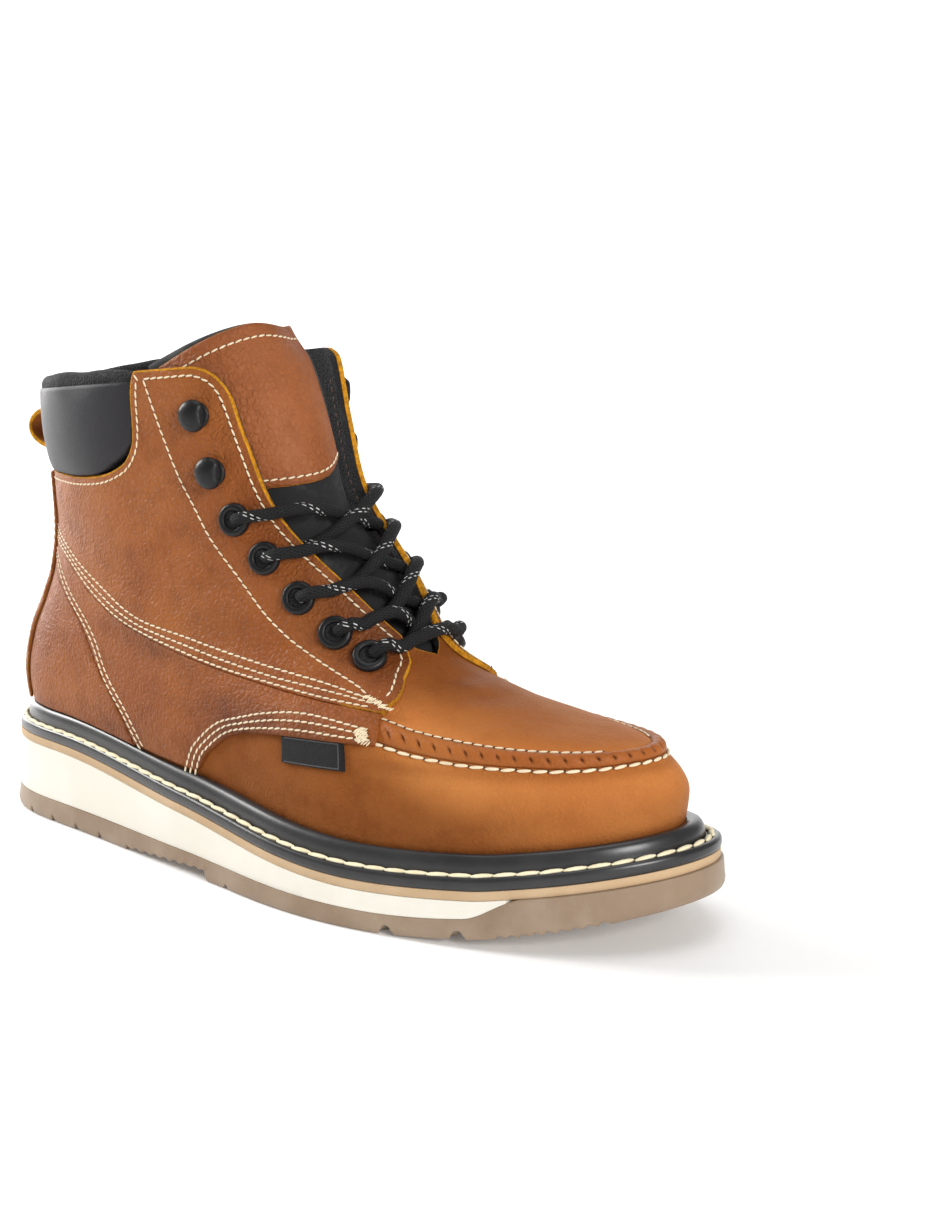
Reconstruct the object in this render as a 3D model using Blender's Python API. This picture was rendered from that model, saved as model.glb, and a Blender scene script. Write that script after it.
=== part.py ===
"""Right moc-toe wedge work boot: toe at +X, medial side at +Y, floor at z = 0. Sizes in millimetres."""

import math
from collections import namedtuple

import bmesh
import bpy
import numpy as np

MM = 0.001
GAP = 0.3
SKIN_GAP = 0.6

SOLE_LENGTH = 308.0
SOLE_BLUNT_BACK = 7.6
SOLE_BLUNT_FRONT = 3.7
SOLE_SWING = 14.0
STRIP_THICK = 2.5
WELT_INSET = 2.2
WELT_EDGE = 4.2
BEAD_LEVEL = 0.42

WALL = 2.0
PANEL = 1.7
COUNTER_THICK = 1.5
BACKSTAY_THICK = 1.1
MEDIAL_RISE = 6.0
RIDGE_HEIGHT = 2.1
RIDGE_HALF_WIDTH = 4.6
RIDGE_START = 121.5
PAD_BULGE = 4.6
PAD_INSIDE = -5.5
PAD_ANGLE = 97.5
TONGUE_LIFT = -5.4
TONGUE_THICK = 1.5
PATCH_LIFT = -3.25
PATCH_THICK = 1.1

EYELET_RADIUS = 6.2
EYELET_HOLE = 3.3
EYELET_THICK = 1.7
HOOK_RADIUS = 5.6
HOOK_HEIGHT = 5.2
LACE_RADIUS = 2.2
LACE_STEPS = 10

# Plan and heights of the sole along its length, s = 0 at the heel and 1 at the toe.
Plan = namedtuple("Plan", "s lateral medial shelf spring tread_top")
PLAN = (
    Plan(0.00, 40.0, 40.0, 32.4, 0.0, 8.6),
    Plan(0.15, 40.0, 39.5, 32.0, 0.0, 8.6),
    Plan(0.42, 48.0, 37.0, 24.2, 0.0, 8.0),
    Plan(0.70, 57.0, 50.0, 16.1, 0.0, 6.6),
    Plan(0.82, 57.0, 50.0, 17.9, 2.4, 9.2),
    Plan(0.87, 57.0, 50.0, 20.2, 4.9, 17.0),
    Plan(1.00, 57.0, 50.0, 28.0, 15.3, 25.0),
)
WEDGE_END = 0.862
WEDGE_MARKS = (86.0, 90.0, 93.5, 100.0, 103.0, 106.0)

# Grooves across the tread: place along x, width and depth.
Groove = namedtuple("Groove", "x width depth")
GROOVES = (
    Groove(-138.0, 3.0, 1.6),
    Groove(-122.0, 3.0, 2.4),
    Groove(-106.0, 3.0, 2.4),
    Groove(-90.0, 3.0, 2.4),
    Groove(-74.0, 3.0, 2.4),
    Groove(4.0, 3.0, 1.6),
    Groove(74.0, 4.0, 2.6),
    Groove(97.0, 4.0, 2.6),
)
ARCH_START = -56.0
ARCH_END = -8.0
ARCH_DEPTH = 3.2
ARCH_TEETH = 8
TOE_TEETH_START = 108.0
TOE_TEETH_END = 138.0
TOE_TEETH = 9
TOOTH_DEPTH = 1.1

# Rings of the last from the feather line up; each runs from the back seam to the front.
Level = namedtuple(
    "Level",
    "t back_x back_z front_x front_z heel waist_l waist_m ball_l ball_m blunt_back blunt_front swing follow",
)
LEVELS = (
    Level(0, -142.0, 33.0, 140.5, 28.6, 31.5, 38.5, 28.0, 47.5, 40.0, 7.6, 3.7, 12.0, 1.00),
    Level(1, -145.0, 56.0, 142.5, 45.0, 34.0, 39.5, 30.5, 49.0, 41.5, 7.4, 3.7, 12.0, 0.95),
    Level(2, -142.0, 72.0, 131.5, 59.0, 33.5, 38.0, 32.0, 42.0, 34.0, 6.6, 3.6, 10.5, 0.30),
    Level(3, -135.5, 86.0, 97.0, 66.0, 33.0, 37.0, 32.5, 35.0, 28.5, 5.0, 3.2, 6.0, 0.05),
    Level(4, -129.5, 99.0, 57.0, 78.5, 33.0, 36.5, 33.5, 34.5, 30.5, 3.8, 3.0, 2.5, 0.0),
    Level(5, -127.0, 114.0, 36.0, 103.0, 33.5, 36.0, 34.5, 33.5, 31.0, 3.0, 3.0, 1.0, 0.0),
    Level(6, -126.5, 132.0, 17.0, 128.0, 35.0, 37.0, 36.0, 34.5, 32.5, 2.6, 3.1, 0.0, 0.0),
    Level(7, -127.0, 151.0, 8.0, 152.0, 37.0, 39.5, 38.5, 37.0, 35.0, 2.5, 3.2, 0.0, 0.0),
    Level(8, -127.0, 171.0, -1.0, 179.0, 39.0, 41.5, 40.5, 39.5, 37.5, 2.5, 3.2, 0.0, 0.0),
    Level(9, -127.0, 186.0, -13.0, 202.0, 39.0, 41.5, 40.5, 39.5, 37.5, 2.5, 3.2, 0.0, 0.0),
)
ROWS = (0, 0.5, 1, 1.5, 1.8, 2, 2.3, 2.75, 3.2, 3.6, 3.9, 4.12, 4.25, 4.5, 5, 5.5, 6, 6.8, 7.5, 8)
COLUMNS = 20
SHAFT_START = 5.0
TAB_TOP = 8.0
PAD_BOTTOM = 6.30

# Half opening of the throat by level.
Throat = namedtuple("Throat", "t gap")
THROAT_BASE = 4.12
THROAT = (
    Throat(4.12, 0.0),
    Throat(4.25, 6.5),
    Throat(4.50, 10.5),
    Throat(5.00, 16.0),
    Throat(6.00, 23.2),
    Throat(7.00, 26.8),
    Throat(8.00, 30.0),
)

# Panel lines on the last: angles in degrees from the back seam, levels as in LEVELS.
Line = namedtuple("Line", "angle t")
SEAM = (
    Line(0, 4.90),
    Line(47, 4.45),
    Line(62, 3.85),
    Line(73, 3.32),
    Line(85, 2.96),
    Line(97, 2.70),
    Line(111, 2.54),
    Line(130, 2.50),
)
QUARTER_FOOT = (
    Line(55, 0.50),
    Line(82, 0.50),
    Line(85, 0.92),
    Line(89.5, 1.36),
    Line(95, 1.58),
    Line(103, 1.72),
    Line(118, 1.87),
)
TOP_LINE = (
    Line(0, 6.30),
    Line(60, 6.30),
    Line(76, 6.36),
    Line(90, 6.60),
    Line(97, 6.98),
    Line(102, 7.78),
    Line(105, 8.00),
    Line(180, 8.00),
)
Edge = namedtuple("Edge", "t angle")
COUNTER_EDGE = (
    Edge(0.4, 68),
    Edge(1.0, 64),
    Edge(1.7, 58),
    Edge(3.0, 51),
    Edge(3.8, 39),
    Edge(4.2, 22),
    Edge(4.4, 9),
    Edge(5.3, 9),
)
BACKSTAY_EDGE = (
    Edge(0.5, 24),
    Edge(3.0, 26),
    Edge(5.0, 30),
    Edge(6.3, 34),
)
FRONT_EDGE = (
    Edge(1.85, 118),
    Edge(2.35, 121),
    Edge(2.75, 127),
    Edge(3.2, 137),
    Edge(3.65, 150),
    Edge(4.05, 163),
    Edge(4.4, 167),
    Edge(8.0, 167),
)

# Places of the eyelets and hooks on each flap, from the lowest up; the surface hollows at the lowest.
Fitting = namedtuple("Fitting", "angle t raised")
EYELETS = (
    Fitting(148.0, 4.02, 1.0),
    Fitting(143.0, 4.38, 0.6),
    Fitting(136.5, 4.80, 0.3),
    Fitting(132.0, 5.32, 0.2),
    Fitting(128.5, 5.85, 0.2),
)
HOOKS = (
    Fitting(126.5, 6.56, 0.1),
    Fitting(126.5, 7.36, 0.1),
)

COLOURS = {
    "gum": (0.42, 0.31, 0.20),
    "white": (0.86, 0.83, 0.74),
    "strip": (0.52, 0.36, 0.20),
    "black": (0.02, 0.02, 0.022),
    "charcoal": (0.035, 0.036, 0.04),
    "tan": (0.40, 0.115, 0.028),
    "dark_tan": (0.33, 0.09, 0.022),
    "raw": (0.60, 0.26, 0.03),
    "cream": (0.70, 0.62, 0.48),
}


def column(rows, name, at):
    """The named column of a table at values of its first column, by a monotone cubic."""
    x = np.array([row[0] for row in rows], float)
    y = np.array([getattr(row, name) for row in rows], float)
    at = np.asarray(at, float)
    step = np.diff(x)
    slope = np.diff(y) / step
    turn = np.empty_like(y)
    turn[0] = slope[0]
    turn[-1] = slope[-1]
    same = slope[:-1] * slope[1:] > 0
    before = np.where(same, slope[:-1], 1.0)
    after = np.where(same, slope[1:], 1.0)
    w1 = 2 * step[1:] + step[:-1]
    w2 = step[1:] + 2 * step[:-1]
    turn[1:-1] = np.where(same, (w1 + w2) / (w1 / before + w2 / after), 0.0)
    i = np.clip(np.searchsorted(x, at) - 1, 0, len(x) - 2)
    u = (at - x[i]) / step[i]
    rise = y[i + 1] - y[i]
    a = step[i] * turn[i]
    b = step[i] * turn[i + 1]
    return y[i] + u * (a + u * (3 * rise - 2 * a - b + u * (a + b - 2 * rise)))


def flat_column(rows, name, at):
    """As column, held at the end values outside the table."""
    return column(rows, name, np.clip(at, rows[0][0], rows[-1][0]))


def ease(start, end, at):
    u = np.clip((np.asarray(at, float) - start) / (end - start), 0.0, 1.0)
    return u * u * (3 - 2 * u)


def bow(theta, blunt):
    """Side reach of a ring at an angle: 0 at both ends, 1 at its widest."""
    return np.sqrt(np.maximum(1 - np.abs(np.cos(theta)) ** blunt, 0.0))


def side_of(theta):
    """-1 on the lateral side, +1 on the medial side."""
    return np.where(np.sin(theta) >= 0, -1.0, 1.0)


def along(x):
    """Share of the sole's length at x."""
    return (np.asarray(x, float) + SOLE_LENGTH / 2) / SOLE_LENGTH


def shelf(x):
    """Height of the welt's underside."""
    return flat_column(PLAN, "shelf", along(x))


def outline(theta, grow):
    """Plan of the sole, grown outwards."""
    s = (1 - np.cos(theta)) / 2
    blunt = SOLE_BLUNT_BACK + (SOLE_BLUNT_FRONT - SOLE_BLUNT_BACK) * ease(0.35, 0.65, s)
    side = side_of(theta)
    half = np.where(side < 0, column(PLAN, "lateral", s), column(PLAN, "medial", s))
    x = (SOLE_LENGTH / 2 + grow) * (2 * s - 1)
    y = side * (half + grow) * bow(theta, blunt) + SOLE_SWING * ease(0.55, 1.0, s)
    return x, y


def half_width(theta, t):
    s = (1 - np.cos(theta)) / 2
    lateral = side_of(theta) < 0
    heel = column(LEVELS, "heel", t)
    waist = np.where(lateral, column(LEVELS, "waist_l", t), column(LEVELS, "waist_m", t))
    ball = np.where(lateral, column(LEVELS, "ball_l", t), column(LEVELS, "ball_m", t))
    return heel + (waist - heel) * ease(0.12, 0.42, s) + (ball - waist) * ease(0.42, 0.72, s)


def reach(theta, t):
    """Distance of the last's surface from its centre line."""
    s = (1 - np.cos(theta)) / 2
    back = column(LEVELS, "blunt_back", t)
    front = column(LEVELS, "blunt_front", t)
    return half_width(theta, t) * bow(theta, back + (front - back) * ease(0.35, 0.65, s))


def last(theta, t):
    """Point of the last at an angle and a level."""
    theta, t = np.broadcast_arrays(np.asarray(theta, float), np.asarray(t, float))
    s = (1 - np.cos(theta)) / 2
    back_x = column(LEVELS, "back_x", t)
    front_x = column(LEVELS, "front_x", t)
    x = back_x + (front_x - back_x) * s
    y = side_of(theta) * reach(theta, t) + column(LEVELS, "swing", t) * ease(0.55, 1.0, s)
    back_z = column(LEVELS, "back_z", t)
    straight = shelf(back_x) + (shelf(front_x) - shelf(back_x)) * s
    dip = column(LEVELS, "follow", t) * (shelf(x) - straight)
    rise = ease(3.6, 4.8, t) * (1 - 0.9 * ease(7.95, 8.75, t)) * ease(-8.0, 34.0, y)
    z = back_z + (column(LEVELS, "front_z", t) - back_z) * s + dip + MEDIAL_RISE * rise
    return np.stack([x, y, z], -1)


def lifted(theta, t, lift):
    """Point at a distance outside the last's surface."""
    theta, t = np.broadcast_arrays(np.asarray(theta, float), np.asarray(t, float))
    d = 2e-3
    round_it = last(theta + d, t) - last(theta - d, t)
    up_it = last(theta, t + d) - last(theta, t - d)
    normal = np.cross(round_it, up_it)
    normal /= np.linalg.norm(normal, axis=-1, keepdims=True)
    return last(theta, t) + normal * np.broadcast_to(lift, theta.shape)[..., None]


def throat_angle(t, side):
    """Angle of the throat edge at a level, for the side -1 or +1."""
    t = np.asarray(t, float)
    gap = np.where(t <= THROAT_BASE, 0.0, flat_column(THROAT, "gap", t))
    low = np.full(t.shape, math.pi / 2)
    high = np.full(t.shape, math.pi)
    for _ in range(44):
        middle = (low + high) / 2
        wide = reach(-side * middle, t) > gap
        low = np.where(wide, middle, low)
        high = np.where(wide, high, middle)
    return np.where(gap > 0, (low + high) / 2, math.pi)


def top_line(theta):
    """Level of the upper's top edge: low under the collar pad, high at the tab, round at the tab's front."""
    angle = np.degrees(np.abs(theta))
    corner = np.clip((angle - 127.0) / 14.0, 0.0, 1.0)
    return flat_column(TOP_LINE, "t", angle) - 0.5 * (1 - np.sqrt(1 - 0.98 * corner**2))


def colour_of(name, rgb, rough):
    material = bpy.data.materials.new(name)
    material.use_nodes = True
    shader = material.node_tree.nodes["Principled BSDF"]
    shader.inputs["Base Color"].default_value = (*rgb, 1.0)
    shader.inputs["Roughness"].default_value = rough
    return material


def solid(name, points, faces, colour, rough=0.6):
    """One named mesh object with its own material, points welded and faces turned outwards."""
    mesh = bpy.data.meshes.new(name)
    mesh.from_pydata((np.asarray(points, float) * MM).tolist(), [], faces)
    work = bmesh.new()
    work.from_mesh(mesh)
    bmesh.ops.remove_doubles(work, verts=work.verts, dist=2e-6)
    loose = [vert for vert in work.verts if not vert.link_faces]
    bmesh.ops.delete(work, geom=loose, context="VERTS")
    bmesh.ops.recalc_face_normals(work, faces=work.faces)
    work.to_mesh(mesh)
    work.free()
    thing = bpy.data.objects.new(name, mesh)
    thing.data.materials.append(colour_of(name, COLOURS[colour], rough))
    bpy.context.scene.collection.objects.link(thing)
    return thing


def grid_faces(rows, columns, start, ring=False):
    """Quads of a grid of points; a ring joins its last column to its first."""
    faces = []
    span = columns if ring else columns - 1
    for i in range(rows - 1):
        for j in range(span):
            k = (j + 1) % columns
            a = start + i * columns
            b = a + columns
            faces.append((a + j, a + k, b + k, b + j))
    return faces


def slab(name, outer, inner, colour, rough=0.6, joined=0):
    """A thick sheet between two grids of points; its first rows may be rings that are joined."""
    rows, columns = outer.shape[:2]
    count = rows * columns
    points = np.concatenate([outer.reshape(-1, 3), inner.reshape(-1, 3)])
    faces = grid_faces(rows, columns, 0)
    faces += [face[::-1] for face in grid_faces(rows, columns, count)]
    border = [(0, j) for j in range(columns)]
    border += [(i, columns - 1) for i in range(1, rows)]
    border += [(rows - 1, j) for j in range(columns - 2, -1, -1)]
    border += [(i, 0) for i in range(rows - 2, 0, -1)]
    at = [i * columns + j for i, j in border]
    for a, b in zip(at, at[1:] + at[:1]):
        side = abs(a - b) == columns
        if not (side and max(a, b) // columns <= joined):
            faces.append((b, a, a + count, b + count))
    return solid(name, points, faces, colour, rough)


def loft(name, rings, colour, rough=0.6, capped=True):
    """A solid through closed rings of points; a tube joined end to end when not capped."""
    rings = [np.asarray(ring, float) for ring in rings]
    count = len(rings[0])
    points = np.concatenate(rings)
    faces = grid_faces(len(rings), count, 0, ring=True)
    last_start = (len(rings) - 1) * count
    if not capped:
        for j in range(count):
            k = (j + 1) % count
            faces.append((last_start + j, last_start + k, k, j))
        return solid(name, points, faces, colour, rough)
    for start in (0, last_start):
        for j in range(count // 2):
            ends = [j, j + 1, (count - j - 1) % count, (count - j) % count]
            face = [start + end for k, end in enumerate(ends) if end not in ends[:k]]
            if len(face) > 2:
                faces.append(tuple(face))
    return solid(name, points, faces, colour, rough)


def sides(theta):
    """Angles of a closed ring from angles of the lateral side, heel to toe."""
    ends_at_toe = theta[-1] > math.pi - 1e-6
    medial = theta[1:-1] if ends_at_toe else theta[1:]
    return np.concatenate([theta, -medial[::-1]])


def stations(count, x_marks=(), end=1.0):
    """Angles from heel to toe, with extra ones at given x."""
    theta = np.linspace(0.0, math.acos(1 - 2 * end), count)
    marks = [math.acos(1 - 2 * along(x)) for x in x_marks if 0 < along(x) < end]
    kept = [a for a in theta[1:-1] if all(abs(a - m) > 0.012 for m in marks)]
    return np.array(sorted([theta[0], theta[-1]] + kept + marks))


def sole_ring(theta, grow, height):
    x, y = outline(theta, grow)
    return np.stack([x, y, height(x)], -1)


def tread_marks():
    """x and extra height of each corner of the tread's grooves."""
    marks = []
    for groove in GROOVES:
        half = groove.width / 2
        marks.append((groove.x - half - 0.2, 0.0))
        marks.append((groove.x - half + 0.5, groove.depth))
        marks.append((groove.x + half - 0.5, groove.depth))
        marks.append((groove.x + half + 0.2, 0.0))
    pitch = (ARCH_END - ARCH_START) / ARCH_TEETH
    marks.append((ARCH_START - 0.6, 0.0))
    for k in range(ARCH_TEETH):
        x = ARCH_START + k * pitch
        share = (k + 1) / ARCH_TEETH
        deep = 0.8 + (ARCH_DEPTH - 0.8) * share
        marks.append((x + 0.1, deep + TOOTH_DEPTH))
        marks.append((x + 0.5 * pitch, deep - 0.2))
    marks.append((ARCH_END - 0.8, ARCH_DEPTH + TOOTH_DEPTH))
    marks.append((ARCH_END + 0.4, 0.0))
    pitch = (TOE_TEETH_END - TOE_TEETH_START) / TOE_TEETH
    for k in range(TOE_TEETH):
        x = TOE_TEETH_START + k * pitch
        marks.append((x, 0.0))
        marks.append((x + 0.35 * pitch, TOOTH_DEPTH))
    marks.append((TOE_TEETH_END, 0.0))
    return sorted(marks)


def make_outsole():
    marks = tread_marks()
    theta = sides(stations(26, [x for x, _ in marks] + list(WEDGE_MARKS)))
    at = np.array([x for x, _ in marks])
    extra = np.array([z for _, z in marks])

    def ground(x):
        return flat_column(PLAN, "spring", along(x)) + np.interp(x, at, extra)

    def spring(x):
        return flat_column(PLAN, "spring", along(x))

    def top(x):
        s = along(x)
        full = shelf(x) - STRIP_THICK - 2 * GAP
        return np.where(s > 0.87, full, np.minimum(flat_column(PLAN, "tread_top", s), full))

    rings = [
        sole_ring(theta, -1.2, ground),
        sole_ring(theta, 0.0, lambda x: np.maximum(spring(x) + 3.0, ground(x) + 0.6)),
        sole_ring(theta, -0.9, top),
    ]
    return loft("outsole", rings, "gum", 0.5)


def make_wedge():
    theta = sides(stations(30, WEDGE_MARKS, WEDGE_END))

    def top(x):
        return shelf(x) - STRIP_THICK - 2 * GAP

    def bottom(x):
        return np.minimum(flat_column(PLAN, "tread_top", along(x)) + GAP, top(x) - 0.35)

    rings = [
        sole_ring(theta, -1.3, bottom),
        sole_ring(theta, -0.9, lambda x: bottom(x) + np.minimum(1.0, (top(x) - bottom(x)) / 3)),
        sole_ring(theta, -1.9, top),
    ]
    return loft("midsole_wedge", rings, "white", 0.7)


def make_slip_layer():
    theta = sides(stations(30))
    rings = [
        sole_ring(theta, -2.0, lambda x: shelf(x) - STRIP_THICK - GAP),
        sole_ring(theta, -1.7, lambda x: shelf(x) - GAP - STRIP_THICK / 2),
        sole_ring(theta, -2.0, lambda x: shelf(x) - GAP),
    ]
    return loft("slip_layer", rings, "strip", 0.7)


def make_welt():
    """Storm welt: a flat ledge outside and a round bead against the upper."""
    theta = sides(stations(COLUMNS + 1))
    edge = np.stack(outline(theta, -WELT_INSET), -1)
    foot = lifted(theta, 0.02, 0.35)
    neck = lifted(theta, BEAD_LEVEL, 0.35)

    def across(share, rise):
        place = edge + (neck[:, :2] - edge) * share
        return np.column_stack([place, shelf(place[:, 0]) + rise])

    bead = neck[:, 2] - shelf(neck[:, 0])
    rings = [
        across(0.0, 0.0),
        across(-0.06, 2.0),
        across(0.05, WELT_EDGE),
        across(0.40, WELT_EDGE + 0.2),
        across(0.45, 0.62 * bead),
        across(0.62, 0.93 * bead),
        across(0.84, bead + 0.25),
        neck,
        np.column_stack([foot[:, :2], shelf(foot[:, 0])]),
    ]
    return loft("welt", rings, "black", 0.35, capped=False)


def make_insole():
    theta = sides(stations(COLUMNS + 1))
    inside = lifted(theta, 0.1, -WALL - 0.7)
    low = np.column_stack([inside[:, :2], shelf(inside[:, 0]) + 0.5])
    high = np.column_stack([inside[:, :2], shelf(inside[:, 0]) + 3.2])
    return loft("insole", [low, high], "cream", 0.8)


def lattice():
    """Angles and levels of the upper's grid, which the panels share; medial angles are negative."""
    level = np.repeat(np.array(ROWS, float)[:, None], 2 * COLUMNS + 1, axis=1)
    share = np.linspace(-1.0, 1.0, 2 * COLUMNS + 1)
    t = level.copy()
    for _ in range(12):
        theta = share * np.where(share > 0, throat_angle(t, -1), throat_angle(t, 1))
        stretch = (top_line(theta) - SHAFT_START) / (TAB_TOP - SHAFT_START)
        t = np.where(level > SHAFT_START, SHAFT_START + (level - SHAFT_START) * stretch, level)
    return theta, t


def make_upper():
    """One hollow shell open at the collar, down the throat and underneath."""
    theta, t = lattice()
    outer = lifted(theta, t, 0.0)
    inner = lifted(theta, t, -WALL)
    return slab("upper", outer, inner, "tan", 0.55, ROWS.index(THROAT_BASE))


def cell_sizes(theta, t):
    """Areas of a grid's cells in angle and level."""
    across = np.stack([theta[1:, 1:] - theta[:-1, :-1], t[1:, 1:] - t[:-1, :-1]])
    other = np.stack([theta[1:, :-1] - theta[:-1, 1:], t[1:, :-1] - t[:-1, 1:]])
    return np.abs(across[0] * other[1] - across[1] * other[0]) / 2


def largest(faces):
    """The biggest set of faces that are joined edge to edge."""
    owners = {}
    for face in faces:
        for k in range(len(face)):
            owners.setdefault(frozenset((face[k - 1], face[k])), []).append(face)
    best = set()
    left = set(faces)
    while left:
        found = set()
        waiting = [left.pop()]
        while waiting:
            face = waiting.pop()
            found.add(face)
            for k in range(len(face)):
                near = set(owners[frozenset((face[k - 1], face[k]))]) & left
                left -= near
                waiting.extend(near)
        best = max(best, found, key=len)
    return sorted(best)


def patch(name, first, final, lower, upper, lift, thick, colour):
    """A sheet on the upper's grid, held between two edges by level and two lines by angle."""
    theta, t = lattice()
    whole = cell_sizes(theta, t)
    for _ in range(8):
        theta = np.clip(theta, first(t), final(t))
        t = np.clip(t, lower(np.abs(theta)), upper(np.abs(theta)))
    kept = cell_sizes(theta, t) > 0.03 * whole
    flat = np.round(np.column_stack([theta.ravel(), t.ravel()]), 5)
    spots, index = np.unique(flat, axis=0, return_inverse=True)
    index = index.reshape(theta.shape)
    faces = []
    for i, j in np.argwhere(kept):
        corners = (index[i, j], index[i, j + 1], index[i + 1, j + 1], index[i + 1, j])
        faces.append(tuple(int(c) for k, c in enumerate(corners) if c not in corners[:k]))
    faces = largest(faces)
    edges = {(face[k - 1], face[k]) for face in faces for k in range(len(face))}
    count = len(spots)
    rim = [(b, a, a + count, b + count) for a, b in edges if (b, a) not in edges]
    back = [tuple(c + count for c in face[::-1]) for face in faces]
    outer = lifted(spots[:, 0], spots[:, 1], lift + thick)
    inner = lifted(spots[:, 0], spots[:, 1], lift)
    return solid(name, np.concatenate([outer, inner]), faces + back + rim, colour)


def edge_angle(table):
    return lambda t: np.radians(flat_column(table, "angle", t))


def line_level(table, shift=0.0):
    return lambda theta: flat_column(table, "t", np.degrees(theta)) + shift


def panel_front(side):
    """Front edge of the panels: across the instep, then up the throat."""

    def at(t):
        return np.minimum(edge_angle(FRONT_EDGE)(t), throat_angle(t, side) - 0.008)

    return at


def mirrored(side, back, front):
    """First and last signed angles of a panel on one side, from its edges on the lateral side."""
    if side < 0:
        return back, front
    return (lambda t: -front(t)), (lambda t: -back(t))


def make_panels():
    for side, word in ((-1, "lateral"), (1, "medial")):
        front = panel_front(side)
        patch(
            f"shaft_{word}", *mirrored(side, lambda t: np.full(np.shape(t), 0.02), front),
            line_level(SEAM, 0.03), lambda angle: top_line(angle) - 0.02, SKIN_GAP, PANEL, "tan",
        )
        patch(
            f"quarter_{word}", *mirrored(side, lambda t: edge_angle(COUNTER_EDGE)(t) + 0.02, front),
            line_level(QUARTER_FOOT), line_level(SEAM, -0.01), SKIN_GAP, COUNTER_THICK, "tan",
        )


def level_at(t):
    return lambda angle: np.full(np.shape(angle), t)


def make_counter():
    edge = edge_angle(COUNTER_EDGE)
    patch(
        "counter", lambda t: -edge(t), edge, level_at(0.50), level_at(4.36),
        SKIN_GAP, COUNTER_THICK, "dark_tan",
    )


def make_backstay():
    edge = edge_angle(BACKSTAY_EDGE)
    patch(
        "backstay", lambda t: -edge(t), edge,
        level_at(0.55), level_at(PAD_BOTTOM - 0.04), SKIN_GAP + PANEL + GAP, BACKSTAY_THICK, "tan",
    )


def make_moc_ridge():
    """Raised seam round the toe, with a round top."""
    grid = np.degrees(np.linspace(0, 2 * math.pi, 2 * COLUMNS + 1))
    angles = [a for a in grid if RIDGE_START + 2 < a < 358 - RIDGE_START]
    theta = np.radians([RIDGE_START, *angles, 360 - RIDGE_START])[None, :]
    share = np.linspace(-1, 1, 5)[:, None]
    d = 1e-3
    below = np.linalg.norm(last(theta, 2.0) - last(theta, 2.0 - d), axis=-1) / d
    above = np.linalg.norm(last(theta, 2.0 + d) - last(theta, 2.0), axis=-1) / d
    t = 2.0 + share * RIDGE_HALF_WIDTH / np.where(share < 0, below, above)
    theta = np.broadcast_to(theta, t.shape)
    height = SKIN_GAP + 0.5 + (RIDGE_HEIGHT - 0.5) * (1 - share**2)
    slab("moc_ridge", lifted(theta, t, np.broadcast_to(height, t.shape)), lifted(theta, t, SKIN_GAP), "tan")


def make_collar_pad():
    """Padded band in the cut-out at the back of the collar."""
    end = math.radians(PAD_ANGLE)
    grid = lattice()[0][-1]
    theta = np.concatenate([[-end], grid[np.abs(grid) < end - 0.03], [end]])[None, :]
    share = np.linspace(0, 1, 6)[:, None]
    low = top_line(theta) + 0.025 + 0.20 * (theta / end) ** 12
    t = low + (TAB_TOP - 0.05 - low) * share
    theta = np.broadcast_to(theta, t.shape)
    belly = np.sqrt(np.maximum(1 - (1.9 * share - 0.9) ** 2, 0.0))
    ends = np.sqrt(np.maximum(1 - (theta / np.radians(PAD_ANGLE + 1.0)) ** 8, 0.0))
    outer = 0.6 + (PAD_BULGE - 0.6) * belly * ends
    inner = PAD_INSIDE + 2.5 * (1 - belly)
    slab("collar_pad", lifted(theta, t, outer), lifted(theta, t, np.broadcast_to(inner, t.shape)), "charcoal")


def tongue_sheet(name, low, high, reach_low, reach_high, lift, thick, colour, rows):
    t = np.linspace(low, high, rows)[:, None]
    share = np.linspace(-1, 1, 9)[None, :]
    spread = reach_low + (reach_high - reach_low) * (t - low) / (high - low)
    theta = math.pi + np.radians(spread) * share
    corner = 0.75 * share**4
    t = t - corner * ease(high - 1.6, high, t)
    lean = -6.0 * ease(7.0, 9.0, t)
    slab(name, lifted(theta, t, lift + thick + lean), lifted(theta, t, lift + lean), colour)


def make_tongue():
    tongue_sheet("tongue", 4.0, 8.80, 17.0, 60.0, TONGUE_LIFT, TONGUE_THICK, "black", 11)
    tongue_sheet("tongue_patch", 6.45, 8.76, 42.0, 59.0, PATCH_LIFT, PATCH_THICK, "tan", 6)


def make_side_tag():
    patch(
        "side_tag", lambda t: np.full(np.shape(t), math.radians(101.5)),
        lambda t: np.full(np.shape(t), math.radians(113.0)),
        line_level(QUARTER_FOOT, -0.36), line_level(QUARTER_FOOT, -0.035), SKIN_GAP, 1.0, "black",
    )


def frame_at(theta, t, lift):
    """A place on the last with its outward, forward and cross directions."""
    d = 2e-3
    place = lifted(np.array(theta), np.array(t), lift)
    ahead = last(theta + d, t) - last(theta - d, t)
    out = np.cross(ahead, last(theta, t + d) - last(theta, t - d))
    out = out / np.linalg.norm(out)
    ahead = ahead / np.linalg.norm(ahead)
    return place, out, ahead, np.cross(out, ahead)


def lathe(name, place, out, ahead, cross, profile, sides_count, colour, rough, capped):
    turn = np.linspace(0, 2 * math.pi, sides_count, endpoint=False)
    ring = np.cos(turn)[:, None] * ahead + np.sin(turn)[:, None] * cross
    rings = [place + ring * radius + out * height for radius, height in profile]
    return loft(name, rings, colour, rough, capped)


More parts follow.
